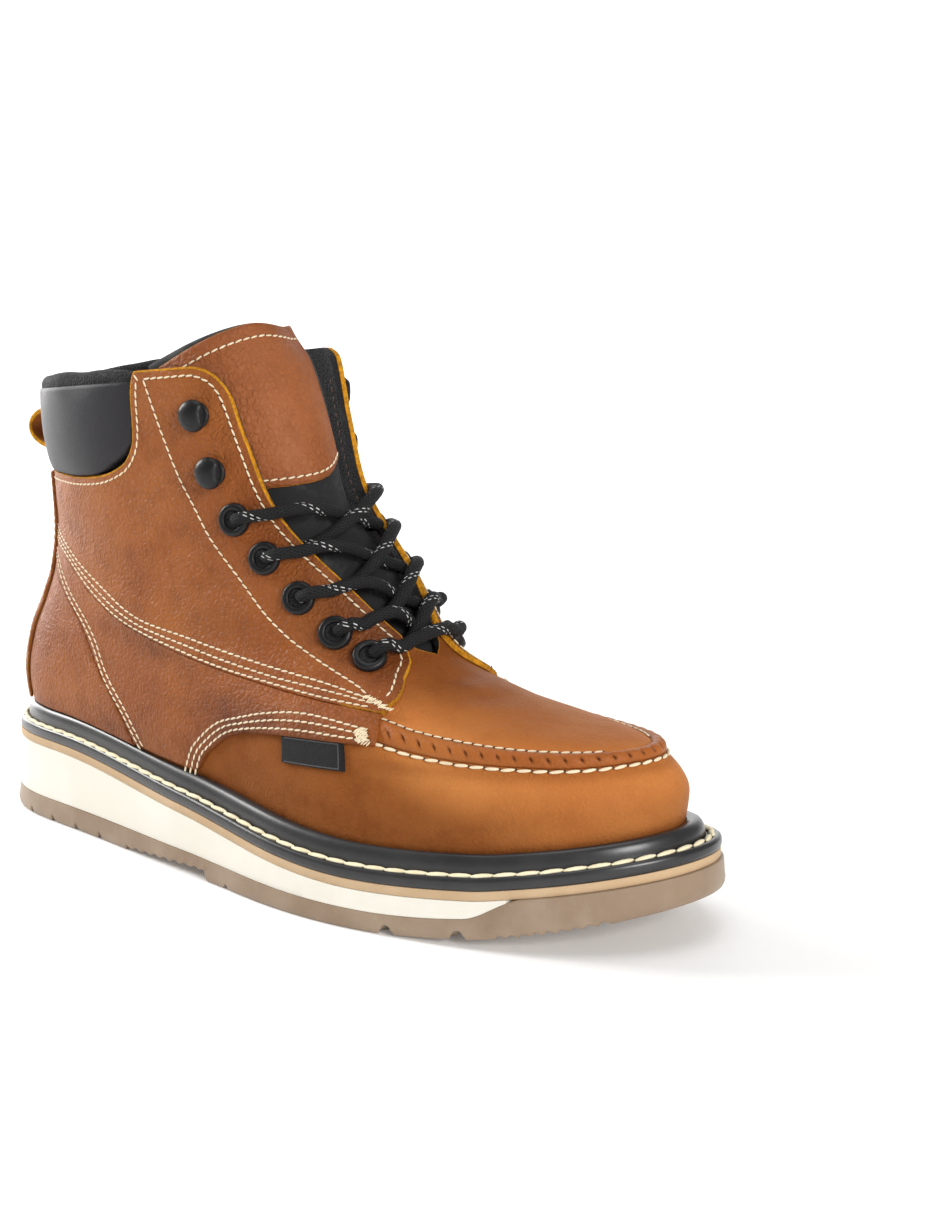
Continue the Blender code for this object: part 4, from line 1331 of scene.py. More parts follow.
class SewingTree(NodeTree):
    """Geometry Nodes tree that sets stitches along paths."""

    def __init__(self, name: str) -> None:
        """Builds the tree with its named inputs."""
        self.tree = bpy.data.node_groups.new(name, "GeometryNodeTree")
        self.inputs: dict[str, str] = {}
        kinds = {"Geometry": "NodeSocketGeometry", "Thread": "NodeSocketMaterial"}
        for word in "Geometry Pitch Length Width Height Twist Shift Sink Thread".split():
            kind = kinds.get(word, "NodeSocketFloat")
            made = self.tree.interface.new_socket(name=word, in_out="INPUT", socket_type=kind)
            self.inputs[word] = made.identifier
        self.tree.interface.new_socket(name="Geometry", in_out="OUTPUT", socket_type=kinds["Geometry"])
        self.build()

    def build(self) -> None:
        """Links paths, places, turned stitches and their material."""
        given = self.node("NodeGroupInput", {}, {})
        values = {socket.name: socket for socket in given.outputs}
        curve = self.output("GeometryNodeMeshToCurve", {}, {0: values["Geometry"]})
        pitch = {"Curve": curve, "Length": values["Pitch"]}
        spots = self.node("GeometryNodeCurveToPoints", {"mode": "LENGTH"}, pitch)
        out = self.output("GeometryNodeInputNamedAttribute", {"data_type": "FLOAT_VECTOR"}, {"Name": "out"})
        align = "FunctionNodeAlignRotationToVector"
        along = self.output(align, {"axis": "X"}, {"Vector": spots.outputs["Tangent"]})
        upright = self.output(align, {"axis": "Z", "pivot_axis": "X"}, {"Rotation": along, "Vector": out})
        twist = {0: self.chance(), 1: values["Twist"]}
        lean = self.output("ShaderNodeMath", {"operation": "MULTIPLY"}, twist)
        euler = self.output("ShaderNodeCombineXYZ", {}, {"Z": lean})
        turn = self.output("FunctionNodeEulerToRotation", {}, {0: euler})
        local = {"rotation_space": "LOCAL"}
        leaning = self.output("FunctionNodeRotateRotation", local, {0: upright, 1: turn})
        bead = self.output("GeometryNodeMeshUVSphere", {}, {"Segments": 8, "Rings": 6, "Radius": 0.5})
        lie = self.output("FunctionNodeEulerToRotation", {}, {0: (0.0, math.pi / 2, 0.0)})
        laid = self.output("GeometryNodeTransform", {}, {"Geometry": bead, "Rotation": lie})
        sides = {"X": values["Length"], "Y": values["Width"], "Z": values["Height"]}
        size = self.output("ShaderNodeCombineXYZ", {}, sides)
        scaled = self.output("GeometryNodeTransform", {}, {"Geometry": laid, "Scale": size})
        setting = {"Points": spots.outputs["Points"], "Instance": scaled, "Rotation": leaning}
        placed = self.output("GeometryNodeInstanceOnPoints", {}, setting)
        offset = self.output("ShaderNodeCombineXYZ", {}, {"X": values["Shift"], "Z": values["Sink"]})
        moving = {"Instances": placed, "Translation": offset, "Local Space": True}
        moved = self.output("GeometryNodeTranslateInstances", {}, moving)
        real = self.output("GeometryNodeRealizeInstances", {}, {"Geometry": moved})
        soft = self.output("GeometryNodeSetShadeSmooth", {}, {"Geometry": real})
        dressing = {"Geometry": soft, "Material": values["Thread"]}
        self.node("NodeGroupOutput", {}, {0: self.output("GeometryNodeSetMaterial", {}, dressing)})

    def chance(self) -> bpy.types.NodeSocket:
        """A seeded number around 1 for each stitch.

        Returns:
            The node's output for numbers.
        """
        draw = self.node("FunctionNodeRandomValue", {"data_type": "FLOAT"}, {"Seed": 7})
        limits = {"Min_001": 0.55, "Max_001": 1.45}
        for socket in draw.inputs:
            if socket.identifier in limits:
                socket.default_value = limits[socket.identifier]
        return next(socket for socket in draw.outputs if socket.identifier == "Value_001")

    def sew(
        self, name: str, paths: Sequence[Path], seam: Seam, finish: Finish, holes: bool = False
    ) -> Piece:
        """Sets stitches, or the holes between them, along paths.

        Args:
            name: The piece's name.
            paths: Where the rows run.
            seam: The stitches' sizes.
            finish: Their finish.
            holes: Make the dark marks, painted shade of the needle holes.

        Returns:
            A plain mesh object.
        """
        edges = []
        start = 0
        for path in paths:
            edges += [(start + k, start + k + 1) for k in range(len(path.points) - 1)]
            start += len(path.points)
        guide_mesh = new_mesh(name + "_guide", np.concatenate([path.points for path in paths]), [], edges)
        made = guide_mesh.attributes.new("out", "FLOAT_VECTOR", "POINT")
        outs = np.concatenate([path.outs for path in paths])
        made.data.foreach_set("vector", outs.astype(np.float32).ravel())
        guide = link(name + "_guide", guide_mesh)
        modifier = guide.modifiers.new("sewing", "NODES")
        modifier.node_group = self.tree
        size = seam.value
        values = {
            "Pitch": size.pitch, "Length": size.length, "Width": size.width, "Height": size.height,
            "Shift": 0.0, "Sink": -size.sink,
        }
        # Dark marks between the stitches: painted shade of the needle holes.
        if holes:
            long = size.pitch - size.length + 0.7
            values.update(Length=long, Width=0.7 * size.width, Height=0.3, Shift=size.pitch / 2, Sink=-0.05)
        for word, value in values.items():
            modifier[self.inputs[word]] = value * MM
        modifier[self.inputs["Twist"]] = size.twist
        modifier[self.inputs["Thread"]] = finish.material()
        graph = bpy.context.evaluated_depsgraph_get()
        mesh = bpy.data.meshes.new_from_object(guide.evaluated_get(graph))
        bpy.data.objects.remove(guide, do_unlink=True)
        mesh.name = name
        return link(name, mesh)

    def sew_pricked(self, word: str, paths: Sequence[Path], seam: Seam, slot: str) -> None:
        """Settles cream rows and dark marks between their stitches, painted shade of the needle holes.

        Args:
            word: First word of the pieces' names.
            paths: Where the rows run.
            seam: The stitches' sizes.
            slot: Passed on to settle.
        """
        settle(self.sew(f"{word}_stitches", paths, seam, Finish.CREAM), slot)
        settle(self.sew(f"{word}_stitch_hole_shade", paths, seam, Finish.HOLE_SHADE, True), slot)


@dataclass
class Sole:
    """Gum tread, foam wedge, edge strip, storm welt and footbed."""

    strip_thick: float = 2.5
    gap: float = 0.3
    wedge_end: float = 0.862
    welt_inset: float = 2.2
    welt_edge: float = 4.2
    bead_level: float = 0.42
    neck_lift: float = 0.35
    stitch_share: float = 0.245
    stations: int = 620
    notches: Places = ((-138.0, 1.6), (-122.0, 2.4), (-106.0, 2.4), (-90.0, 2.4), (-74.0, 2.4), (4.0, 1.6))
    notch_half: float = 1.2
    round_notches: tuple[float, ...] = (74.0, 97.0)
    round_depth: float = 2.9
    round_radius: float = 2.5
    arch: tuple[float, float] = (-56.0, -8.0)
    arch_teeth: int = 8
    toe_teeth: tuple[float, float] = (108.0, 138.0)
    toe_tooth_count: int = 9
    toe_tooth_depth: float = 1.1
    toe_tooth_lean: float = 0.35

    def ring(self, theta: Array, grow: Any, height: Line) -> Array:
        """One closed ring round the sole at a height by x."""
        x, y = LAST.outline(theta, grow)
        return np.stack([x, y, height(x)], -1)

    def turns(self, count: int, end: float = 1.0) -> Array:
        """Angles of a closed ring, heel to toe and back.

        Args:
            count: Points on one side.
            end: Share of the sole's length that it takes in.

        Returns:
            Signed angles.
        """
        half = np.linspace(0.0, math.acos(1 - 2 * end), count)
        back = half[1:-1] if end > 0.999 else half[1:]
        return np.concatenate([half, -back[::-1]])

    def spring(self, x: Array) -> Array:
        """Height of the toe's spring."""
        return PLAN.at("spring", LAST.along(x))

    def tread(self, x: Array) -> Array:
        """Depth of the notches, arch and saw teeth.

        Args:
            x: Places along the sole.

        Returns:
            Depths above the tread's lowest face.
        """
        cut = np.zeros(np.shape(x))
        for middle, deep in self.notches:
            cut = np.maximum(cut, deep * np.clip(1.35 - np.abs(x - middle) / self.notch_half, 0.0, 1.0))
        for middle in self.round_notches:
            bow_share = np.maximum(1 - ((x - middle) / self.round_radius) ** 2, 0.0)
            cut = np.maximum(cut, self.round_depth * np.sqrt(bow_share))
        start, end = self.arch
        share = np.clip((x - start) / (end - start), 0.0, 1.0)
        tooth = np.abs(2 * np.mod(share * self.arch_teeth, 1.0) - 1)
        rise = 0.6 + 2.6 * share + 1.1 * tooth
        inside = np.clip((x - start + 0.8) / 0.8, 0, 1) * np.clip((end + 0.6 - x) / 1.0, 0, 1)
        cut = np.maximum(cut, rise * inside)
        start, end = self.toe_teeth
        saw = np.mod((x - start) / (end - start) * self.toe_tooth_count, 1.0)
        lean = self.toe_tooth_lean
        tooth = np.where(saw < lean, saw / lean, (1 - saw) / (1 - lean))
        return np.maximum(cut, self.toe_tooth_depth * tooth * ((x > start) & (x < end)))

    def under(self, x: Array) -> Array:
        """Height of the sole's parts under the edge strip."""
        return LAST.shelf(x) - self.strip_thick - 2 * self.gap

    def tread_top(self, x: Array) -> Array:
        """Height where the gum ends, full at the toe.

        Args:
            x: Places along the sole.

        Returns:
            Heights.
        """
        s = LAST.along(x)
        full = self.under(x)
        return np.where(s > 0.87, full, np.minimum(PLAN.at("tread_top", s), full))

    def build_outsole(self) -> None:
        """Gum tread with a rounded lower lip."""
        theta = self.turns(self.stations)

        def ground(x: Array) -> Array:
            """Height of the tread's underside."""
            return self.spring(x) + self.tread(x)

        def lip(share: float) -> Line:
            """Height at a share of the rounded lip."""
            return lambda x: np.maximum(ground(x) + 0.15 + 0.8 * share, self.spring(x) + 3.0 * share)

        def side(share: float) -> Line:
            """Height at a share of the side above the lip."""
            low = lip(1.0)
            return lambda x: low(x) + (np.maximum(self.tread_top(x), low(x) + 0.4) - low(x)) * share

        profile = [(-5.0, ground), (-1.3, ground)]
        profile += [(-0.9 + 0.6 * k, lip(0.4 * k)) for k in (0.25, 0.7, 1.2)] + [(0.0, lip(1.0))]
        profile += [(-0.15 - 0.55 * k, side(k)) for k in (0.3, 0.6, 0.85)]
        profile += [(-0.8, side(0.975)), (-1.25, side(1.0))]
        rings = [self.ring(theta, grow, height) for grow, height in profile]
        settle(loft("gum_outsole", rings, Finish.GUM, crease=32.0), "outsole", "outsole")

    def build_wedge(self) -> None:
        """Foam wedge with soft corners and its slanted front end."""
        theta = self.turns(300, self.wedge_end)

        def between(share: float) -> Line:
            """Height at a share of the way from the gum to the strip."""

            def height(x: Array) -> Array:
                """Height along the sole."""
                low = np.minimum(PLAN.at("tread_top", LAST.along(x)) - 0.05, self.under(x) - 0.35)
                return low + (self.under(x) - low) * share

            return height

        profile = (
            (0.0, -1.6), (0.01, -1.05), (0.04, -0.9), (0.3, -1.05), (0.6, -1.3), (0.92, -1.55),
            (0.985, -1.65), (1.0, -2.2),
        )
        rings = [self.ring(theta, grow, between(share)) for share, grow in profile]
        settle(loft("foam_wedge", rings, Finish.FOAM, crease=40.0), "midsole", "midsole_wedge")

    def build_strip(self) -> None:
        """Thin edge strip under the welt."""
        theta = self.turns(260)
        low = -self.gap - self.strip_thick
        profile = (
            (low - 0.35, -2.9), (low - 0.2, -1.9), (low + 0.3, -1.7), (low + 2.1, -1.7), (-0.1, -1.9),
            (0.05, -2.9),
        )
        rings = [self.ring(theta, grow, lambda x, rise=rise: LAST.shelf(x) + rise) for rise, grow in profile]
        settle(loft("edge_strip", rings, Finish.STRIP, crease=50.0), "strip", "slip_layer")

    def welt_line(self, theta: Array, share: float, rise: Any) -> Array:
        """A line round the welt.

        Args:
            theta: Angles from the heel.
            share: 0 at its edge, 1 at the leather.
            rise: Height above the welt's underside.

        Returns:
            Points by coordinates.
        """
        edge = np.stack(LAST.outline(theta, -self.welt_inset), -1)
        neck = LAST.lifted(theta, self.bead_level, self.neck_lift)
        place = edge + (neck[:, :2] - edge) * share
        return np.column_stack([place, LAST.shelf(place[:, 0]) + rise])

    def build_welt(self, sewing: SewingTree) -> None:
        """Storm welt: edge, grooved ledge and round glossy bead, with its stitches.

        Args:
            sewing: The stitches' tree.
        """
        theta = self.turns(320)
        neck = LAST.lifted(theta, self.bead_level, self.neck_lift)
        foot = LAST.lifted(theta, 0.02, self.neck_lift)
        bead = neck[:, 2] - LAST.shelf(neck[:, 0])
        ledge = self.welt_edge
        flat = (
            (0.0, 0.0), (-0.05, 0.35), (-0.07, 1.4), (-0.06, 2.8), (-0.03, 3.6), (0.03, ledge - 0.1),
            (0.10, ledge + 0.1), (0.17, ledge - 0.1), (0.22, ledge - 0.55), (0.29, ledge - 0.55),
            (0.34, ledge - 0.1), (0.40, ledge + 0.05),
        )
        round_part = (
            (0.425, 0.48), (0.44, 0.60), (0.475, 0.74), (0.53, 0.86), (0.60, 0.95), (0.70, 1.01),
            (0.80, 1.03), (0.90, 1.02), (0.97, 1.0),
        )
        rings = [self.welt_line(theta, share, rise) for share, rise in flat]
        rings += [self.welt_line(theta, share, rise * bead) for share, rise in round_part]
        rings += [neck, np.column_stack([foot[:, :2], LAST.shelf(foot[:, 0])])]
        settle(loft("storm_welt", rings, Finish.WELT, True, 44.0), "welt", "welt")
        line = self.welt_line(np.linspace(0.0, 2 * math.pi, 700), self.stitch_share, ledge + 0.3)
        path = Path(line, np.tile((0.0, 0.0, 1.0), (len(line), 1)))
        settle(sewing.sew("welt_stitches", [path], Seam.WELT, Finish.YELLOW), "welt")

    def build_footbed(self) -> None:
        """Soft footbed with a raised rim."""
        theta = self.turns(160)
        inside = LAST.lifted(theta, 0.1, -2.7)
        middle = inside[:, :2].mean(axis=0)

        def ring(share: float, rise: float) -> Array:
            """One ring at a share of the width and a height."""
            place = middle + (inside[:, :2] - middle) * share
            return np.column_stack([place, LAST.shelf(place[:, 0]) + rise])

        rings = [ring(1.0, 0.5), ring(1.0, 2.6), ring(0.985, 3.2), ring(0.95, 3.1), ring(0.8, 2.8)]
        settle(loft("footbed", rings, Finish.FOOTBED, crease=60.0), "insole", "insole")

    def build(self, sewing: SewingTree) -> None:
        """Builds every piece of the sole.

        Args:
            sewing: The stitches' tree.
        """
        self.build_outsole()
        self.build_wedge()
        self.build_strip()
        self.build_welt(sewing)
        self.build_footbed()


@dataclass
class Upper:
    """Leather shell with its panels, moccasin seam and side tag."""

    wall: float = 2.0
    skin_gap: float = 0.6
    panel: float = 1.7
    thin_panel: float = 1.5
    backstay: float = 1.1
    ridge_height: float = 2.1
    ridge_start: float = 117.6
    notch_pitch: float = 5.0
    columns: int = 105
    tag_ends: tuple[float, float] = (101.2, 112.6)

    def build_shell(self) -> None:
        """Vamp, plug and lining as one hollow shell."""
        low = np.linspace(0.0, LAST.throat_base, 92)
        high = LAST.throat_base + (LAST.tab_top - LAST.throat_base) * np.linspace(0, 1, 72)[1:] ** 1.3
        theta, t = LAST.lattice(np.linspace(-1, 1, 2 * self.columns + 1), np.concatenate([low, high]))
        outer = LAST.lifted(theta, t, LAST.relief(theta, t))
        inner = LAST.lifted(theta, t, -self.wall)
        cut = np.zeros(theta.shape)
        cut[-1] = 1.0
        cut[len(low) :, [0, -1]] = 1.0
        numbers = {"edge": np.tile(cut.ravel(), 2), "darkening_and_painted_shade": np.tile(LAST.darkening_and_painted_shade(theta, t).ravel(), 2)}
        finishes = [Finish.VAMP, Finish.LINING]
        shell = slab("leather_shell", outer, inner, finishes, numbers, 60.0, len(low) - 1)
        settle(shell, "vamp_leather", "upper")

    def front(self, side: int) -> Line:
        """Front edge of the panels: across the instep, then up the throat."""
        edge = by_level(FRONT_EDGE)
        return lambda t: np.minimum(edge(t), LAST.throat_angle(t, side) - 0.006)

    @staticmethod
    def open_edges(theta: Array, t: Array) -> Array:
        """How raw a shaft panel's edge is: most along the throat and the top."""
        angle = np.degrees(theta)
        front = 0.88 * ease(3.4, 4.2, t) * ease(70.0, 100.0, angle)
        return np.clip(0.12 + front + 0.6 * ease(6.2, 6.3, t) + 0.5 * ease(112.0, 117.0, angle), 0.0, 1.0)

    @staticmethod
    def low_edges(theta: Array, t: Array) -> Array:
        """How raw a quarter panel's edge is: most at its front."""
        return np.where(np.degrees(theta) > 100.0, 0.30, 0.05)

    def panel_sheets(self) -> list[tuple[Sheet, str, str]]:
        """The flat panels.

        Returns:
            Each panel with its slot and its solid.
        """
        sheets = []
        for side, word in ((-1, "lateral"), (1, "medial")):
            shaft = Sheet(
                f"shaft_panel_{word}", fixed(0.012), self.front(side), by_angle(SEAM, 0.006),
                lambda theta: LAST.top_line(theta) - 0.01, (0.0, 1.0, 172), (2.4, 8.0, 190),
                self.skin_gap, self.panel, Finish.PANEL, 0.8, self.open_edges,
            )
            quarter = Sheet(
                f"quarter_panel_{word}", by_level(COUNTER_EDGE, 0.004), self.front(side),
                by_angle(QUARTER_FOOT), by_angle(SEAM, -0.004), (0.03, 0.78, 170), (0.48, 5.0, 170),
                self.skin_gap, self.thin_panel, Finish.PANEL, 0.6, self.low_edges,
            )
            for sheet, node in ((shaft, "shaft"), (quarter, "quarter")):
                sheets.append((sheet if side < 0 else sheet.mirrored(), "panel_leather", f"{node}_{word}"))
        edge = by_level(COUNTER_EDGE)
        counter = Sheet(
            "counter_panel", lambda t: -edge(t), edge, fixed(0.46), fixed(4.36), (-0.42, 0.42, 141),
            (0.4, 4.5, 112), self.skin_gap, self.thin_panel, Finish.PANEL, 0.6, 0.05,
        )
        side_edge = by_level(BACKSTAY_EDGE)
        strip = Sheet(
            "back_strip", lambda t: -side_edge(t), side_edge, fixed(0.50), fixed(6.26), (-0.24, 0.24, 66),
            (0.4, 8.0, 200), self.strip_lift(), self.backstay, Finish.PANEL, 0.7, 0.45,
        )
        return sheets + [(counter, "counter_leather", "counter"), (strip, "panel_leather", "backstay")]

    def strip_lift(self) -> float:
        """Height of the back strip's underside."""
        return self.skin_gap + self.panel + 0.3

    def build_panels(self) -> None:
        """Cuts and settles the panels."""
        for sheet, slot, node in self.panel_sheets():
            settle(sheet.build(), slot, node)

    def build_ridge(self) -> None:
        """Rolled moccasin seam with puckers and notches, painted shade in the notches and along its edges,
        between its two rows of stitches.
        """
        turn = np.radians(np.linspace(self.ridge_start, 360 - self.ridge_start, 460))
        runs = ((-1, -0.9, 4), (-0.85, 0.85, 22), (0.9, 1, 4))
        share = np.concatenate([np.linspace(*run) for run in runs])
        angle = np.degrees(math.pi - np.abs(turn - math.pi))
        low = MOC_OUTER.at("t", angle)[None, :] + 0.045
        high = MOC_INNER.at("t", angle)[None, :] - 0.03
        t = low + (high - low) * (share[:, None] + 1) / 2
        theta = np.broadcast_to(turn[None, :], t.shape)
        line = LAST.lifted(turn, np.full(turn.shape, 2.0), 0.0)
        far = lengths(line)
        phase = far / self.notch_pitch
        pucker = np.cos(2 * math.pi * phase)
        near = np.abs(np.mod(phase, 1.0) - 0.5) * self.notch_pitch
        cut = bell(near, 0.42)[None, :] * bell(share + 0.22, 0.30)[:, None]
        crown = (1 - share**2)[:, None]
        ends = ease(0.0, 12.0, np.minimum(far, far[-1] - far))
        height = 0.15 + self.ridge_height * crown**0.7 * (0.18 + 0.82 * ends)
        height = height + (0.14 * crown * pucker - 0.7 * cut * crown) * ends + LAST.relief(theta, t)
        outer = LAST.lifted(theta, t, height)
        inner = LAST.lifted(theta, t, np.full(t.shape, -0.4))
        # Painted shade: darker in the notches and along both edges of the roll.
        rim = 0.55 * bell(np.abs(share) - 1, 0.10)[:, None]
        dark = np.clip(1.5 * cut + rim, 0.0, 1.4)
        numbers = {"edge": np.zeros(2 * dark.size), "darkening_and_painted_shade": np.tile(dark.ravel(), 2)}
        roll = slab("moc_seam_roll", outer, inner, [Finish.RIDGE], numbers, 60.0)
        settle(roll, "seam_leather", "moc_ridge")

    def build_tag(self) -> None:
        """Bare woven side tag."""
        first, final = (fixed(math.radians(angle)) for angle in self.tag_ends)
        tag = Sheet(
            "side_tag_weave", first, final, by_angle(QUARTER_FOOT, -0.34), by_angle(QUARTER_FOOT, 0.03),
            (0.54, 0.65, 60), (1.2, 1.95, 60), 0.35, 1.0, Finish.TAB, 0.4,
        )
        settle(tag.build(), "tag", "side_tag")

    def tag_rim(self) -> Path:
        """A line just inside the side tag's edge.

        Returns:
            The path, along its top, front and foot.
        """
        sides = ((102.0, 0.0, 111.8, 0.0), (111.8, 0.0, 111.8, -0.30), (111.8, -0.30, 102.0, -0.30))
        share = np.linspace(0.0, 1.0, 14)
        angle = np.concatenate([a + (b - a) * share for a, _, b, _ in sides])
        drop = np.concatenate([low + (high - low) * share for _, low, _, high in sides])
        theta = np.radians(angle)
        t = QUARTER_FOOT.at("t", angle) - 0.02 + drop
        return Path(LAST.lifted(theta, t, 1.36), LAST.normal(theta, t))

    def build(self) -> None:
        """Builds the shell and all that is sewn to it."""
        self.build_shell()
        self.build_panels()
        self.build_ridge()
        self.build_tag()


@dataclass
class Stitching:
    """Rows of sewing on the leather, by angle and level on the lateral side."""

    upper: Upper
    triple_top: Places = (
        (30, 5.13), (45, 4.86), (58, 4.5), (69.5, 4.14), (79.5, 3.72), (92.5, 3.58), (108, 3.34),
        (119.5, 3.18), (126.0, 2.90),
    )
    triple_low: Places = (
        (29, 4.86), (47, 4.58), (62, 3.98), (72.5, 3.44), (85.5, 3.08), (97, 2.8), (110.5, 2.62),
        (120.5, 2.6),
    )
    eyestay: Places = (
        (108.6, 7.80), (112, 6.56), (115, 5.94), (116, 5.5), (119, 5.0), (122.5, 4.56), (126.5, 4.22),
        (129.2, 3.9), (128.5, 3.3), (126, 2.96),
    )
    counter: Places = ((29, 4.40), (37.5, 4.14), (53, 2.98), (59.5, 1.64), (65.5, 0.96), (69, 0.5))
    foot_top: Places = (
        (80, 0.46), (82.5, 1.02), (87, 1.48), (92.5, 1.74), (101, 2.06), (108, 2.18), (116.8, 2.12),
    )
    foot_edge: Places = (
        (83, 0.5), (85, 0.92), (89.5, 1.36), (95, 1.58), (102.5, 1.72), (111.5, 1.8), (117, 1.86),
    )
    edge_inset: float = 3.3
    collar_inset: float = 2.9

    def between(self, a: Places, b: Places, share: float) -> Array:
        """A row at a share of the way between two rows."""
        one, two = (np.column_stack(level_line(row, 40)) for row in (a, b))
        return one + (two - one) * share

    def throat_row(self, side: int) -> Path:
        """Row inside the throat's edge, round the tab's front corner and along its top.

        Args:
            side: +1 lateral, -1 medial.

        Returns:
            The path.
        """
        t = np.linspace(2.95, 7.42, 110)
        edge = np.degrees(self.upper.front(-side)(t))
        turn = np.linspace(edge[-1] - 1.0, 110.0, 26)
        places = [*zip(edge, t), *zip(turn, LAST.top_line(np.radians(turn)))]
        return self.inset(places, side, self.edge_inset)

    def collar_row(self, side: int) -> Path:
        """Row round the pad's cut-out to the back seam."""
        angle = np.concatenate([np.linspace(105.2, 97, 24), np.linspace(96, 9, 60)])
        return self.inset([*zip(angle, TOP_LINE.at("t", angle))], side, self.collar_inset)

    def inset(self, places: Sequence[Sequence[float]], side: int, aside: float) -> Path:
        """A path moved off an edge, with its corners rounded.

        Args:
            places: Angles in degrees and levels of the edge.
            side: +1 lateral, -1 medial.
            aside: Distance from the edge.

        Returns:
            The path.
        """
        path = Path.on_last(places, side, self.upper.skin_gap + self.upper.panel, aside)
        kernel = np.hanning(13) / np.hanning(13).sum()
        padded = np.pad(path.points, ((6, 6), (0, 0)), mode="edge")
        path.points = np.stack([np.convolve(padded[:, k], kernel, "valid") for k in range(3)], -1)
        return path

    def tack(self, angle: float, t: float, side: int, tall: float) -> Path:
        """A short dense bar of thread across the ends of rows.

        Args:
            angle: Its angle in degrees.
            t: Its middle's level.
            side: +1 lateral, -1 medial.
            tall: Its height in levels.

        Returns:
            The path, to and fro.
        """
        share = np.linspace(0, 1, 9)
        places = [(angle + 0.9 * ((-1) ** k), t - tall / 2 + tall * s) for k, s in enumerate(share)]
        return Path.on_last(places, side, self.upper.skin_gap + self.upper.panel + 0.2)

    def panel_rows(self, side: int) -> list[Path]:
        """Every cream row on one side's panels.

        Args:
            side: +1 lateral, -1 medial.

        Returns:
            The paths.
        """
        top = self.upper.skin_gap + self.upper.panel
        thin = self.upper.skin_gap + self.upper.thin_panel
        triple = [self.between(self.triple_top, self.triple_low, s) for s in (0, 0.5, 0.97)]
        foot = [self.between(self.foot_top, self.foot_edge, s) for s in (0, 0.37, 0.74)]
        rows = [Path.on_last(row, side, top) for row in (*triple, self.eyestay)]
        rows += [Path.on_last(self.counter, side, thin, aside) for aside in (0.0, 2.3)]
        rows += [Path.on_last(row, side, thin) for row in foot]
        rows += [self.throat_row(side), self.collar_row(side)]
        t = np.linspace(0.6, 6.15, 20)
        edge = [*zip(BACKSTAY_EDGE.at("angle", t) - 3.4, t)]
        return rows + [Path.on_last(edge, side, self.upper.strip_lift() + self.upper.backstay)]

    def lining_row(self, side: int) -> Path:
        """Row inside the shell, behind the throat's edge.

        Args:
            side: +1 lateral, -1 medial.

        Returns:
            The path, facing inwards.
        """
        t = np.linspace(4.6, 7.5, 60)
        edge = np.degrees(LAST.throat_angle(t, -side)) - 5.0
        path = Path.on_last([*zip(edge, t)], side, -self.upper.wall - 0.1)
        return Path(path.points, -path.outs)

    def build(self, sewing: SewingTree) -> None:
        """Sews every row on both sides.

        Args:
            sewing: The stitches' tree.
        """
        both = (1, -1)
        tacks = ((125.2, 2.80, 0.34), (116.4, 1.98, 0.22))
        bars = [self.tack(angle, t, side, tall) for side in both for angle, t, tall in tacks]
        rows = [row for side in both for row in self.panel_rows(side)]
        sewing.sew_pricked("panel", rows, Seam.FINE, "panel_leather")
        settle(sewing.sew("bar_tacks", bars, Seam.TACK, Finish.CREAM), "panel_leather")
        settle(sewing.sew("tag_rim", [self.upper.tag_rim()], Seam.RIM, Finish.GREY), "tag")
        turn = np.linspace(118.4, 241.6, 60)
        outer = [*zip(turn, MOC_OUTER.at("t", 180 - np.abs(turn - 180)))]
        sewing.sew_pricked("moc", [Path.on_last(outer, 1, 0.5)], Seam.MOC, "seam_leather")
        turn = np.linspace(122.5, 163.0, 24)
        inner = [*zip(turn, MOC_INNER.at("t", turn))]
        rows = [Path.on_last(inner, side, 0.35) for side in both]
        sewing.sew_pricked("plug", rows, Seam.INNER, "seam_leather")
        lining = [self.lining_row(side) for side in both]
        settle(sewing.sew("lining_stitches", lining, Seam.LINING, Finish.BROWN), "panel_leather")


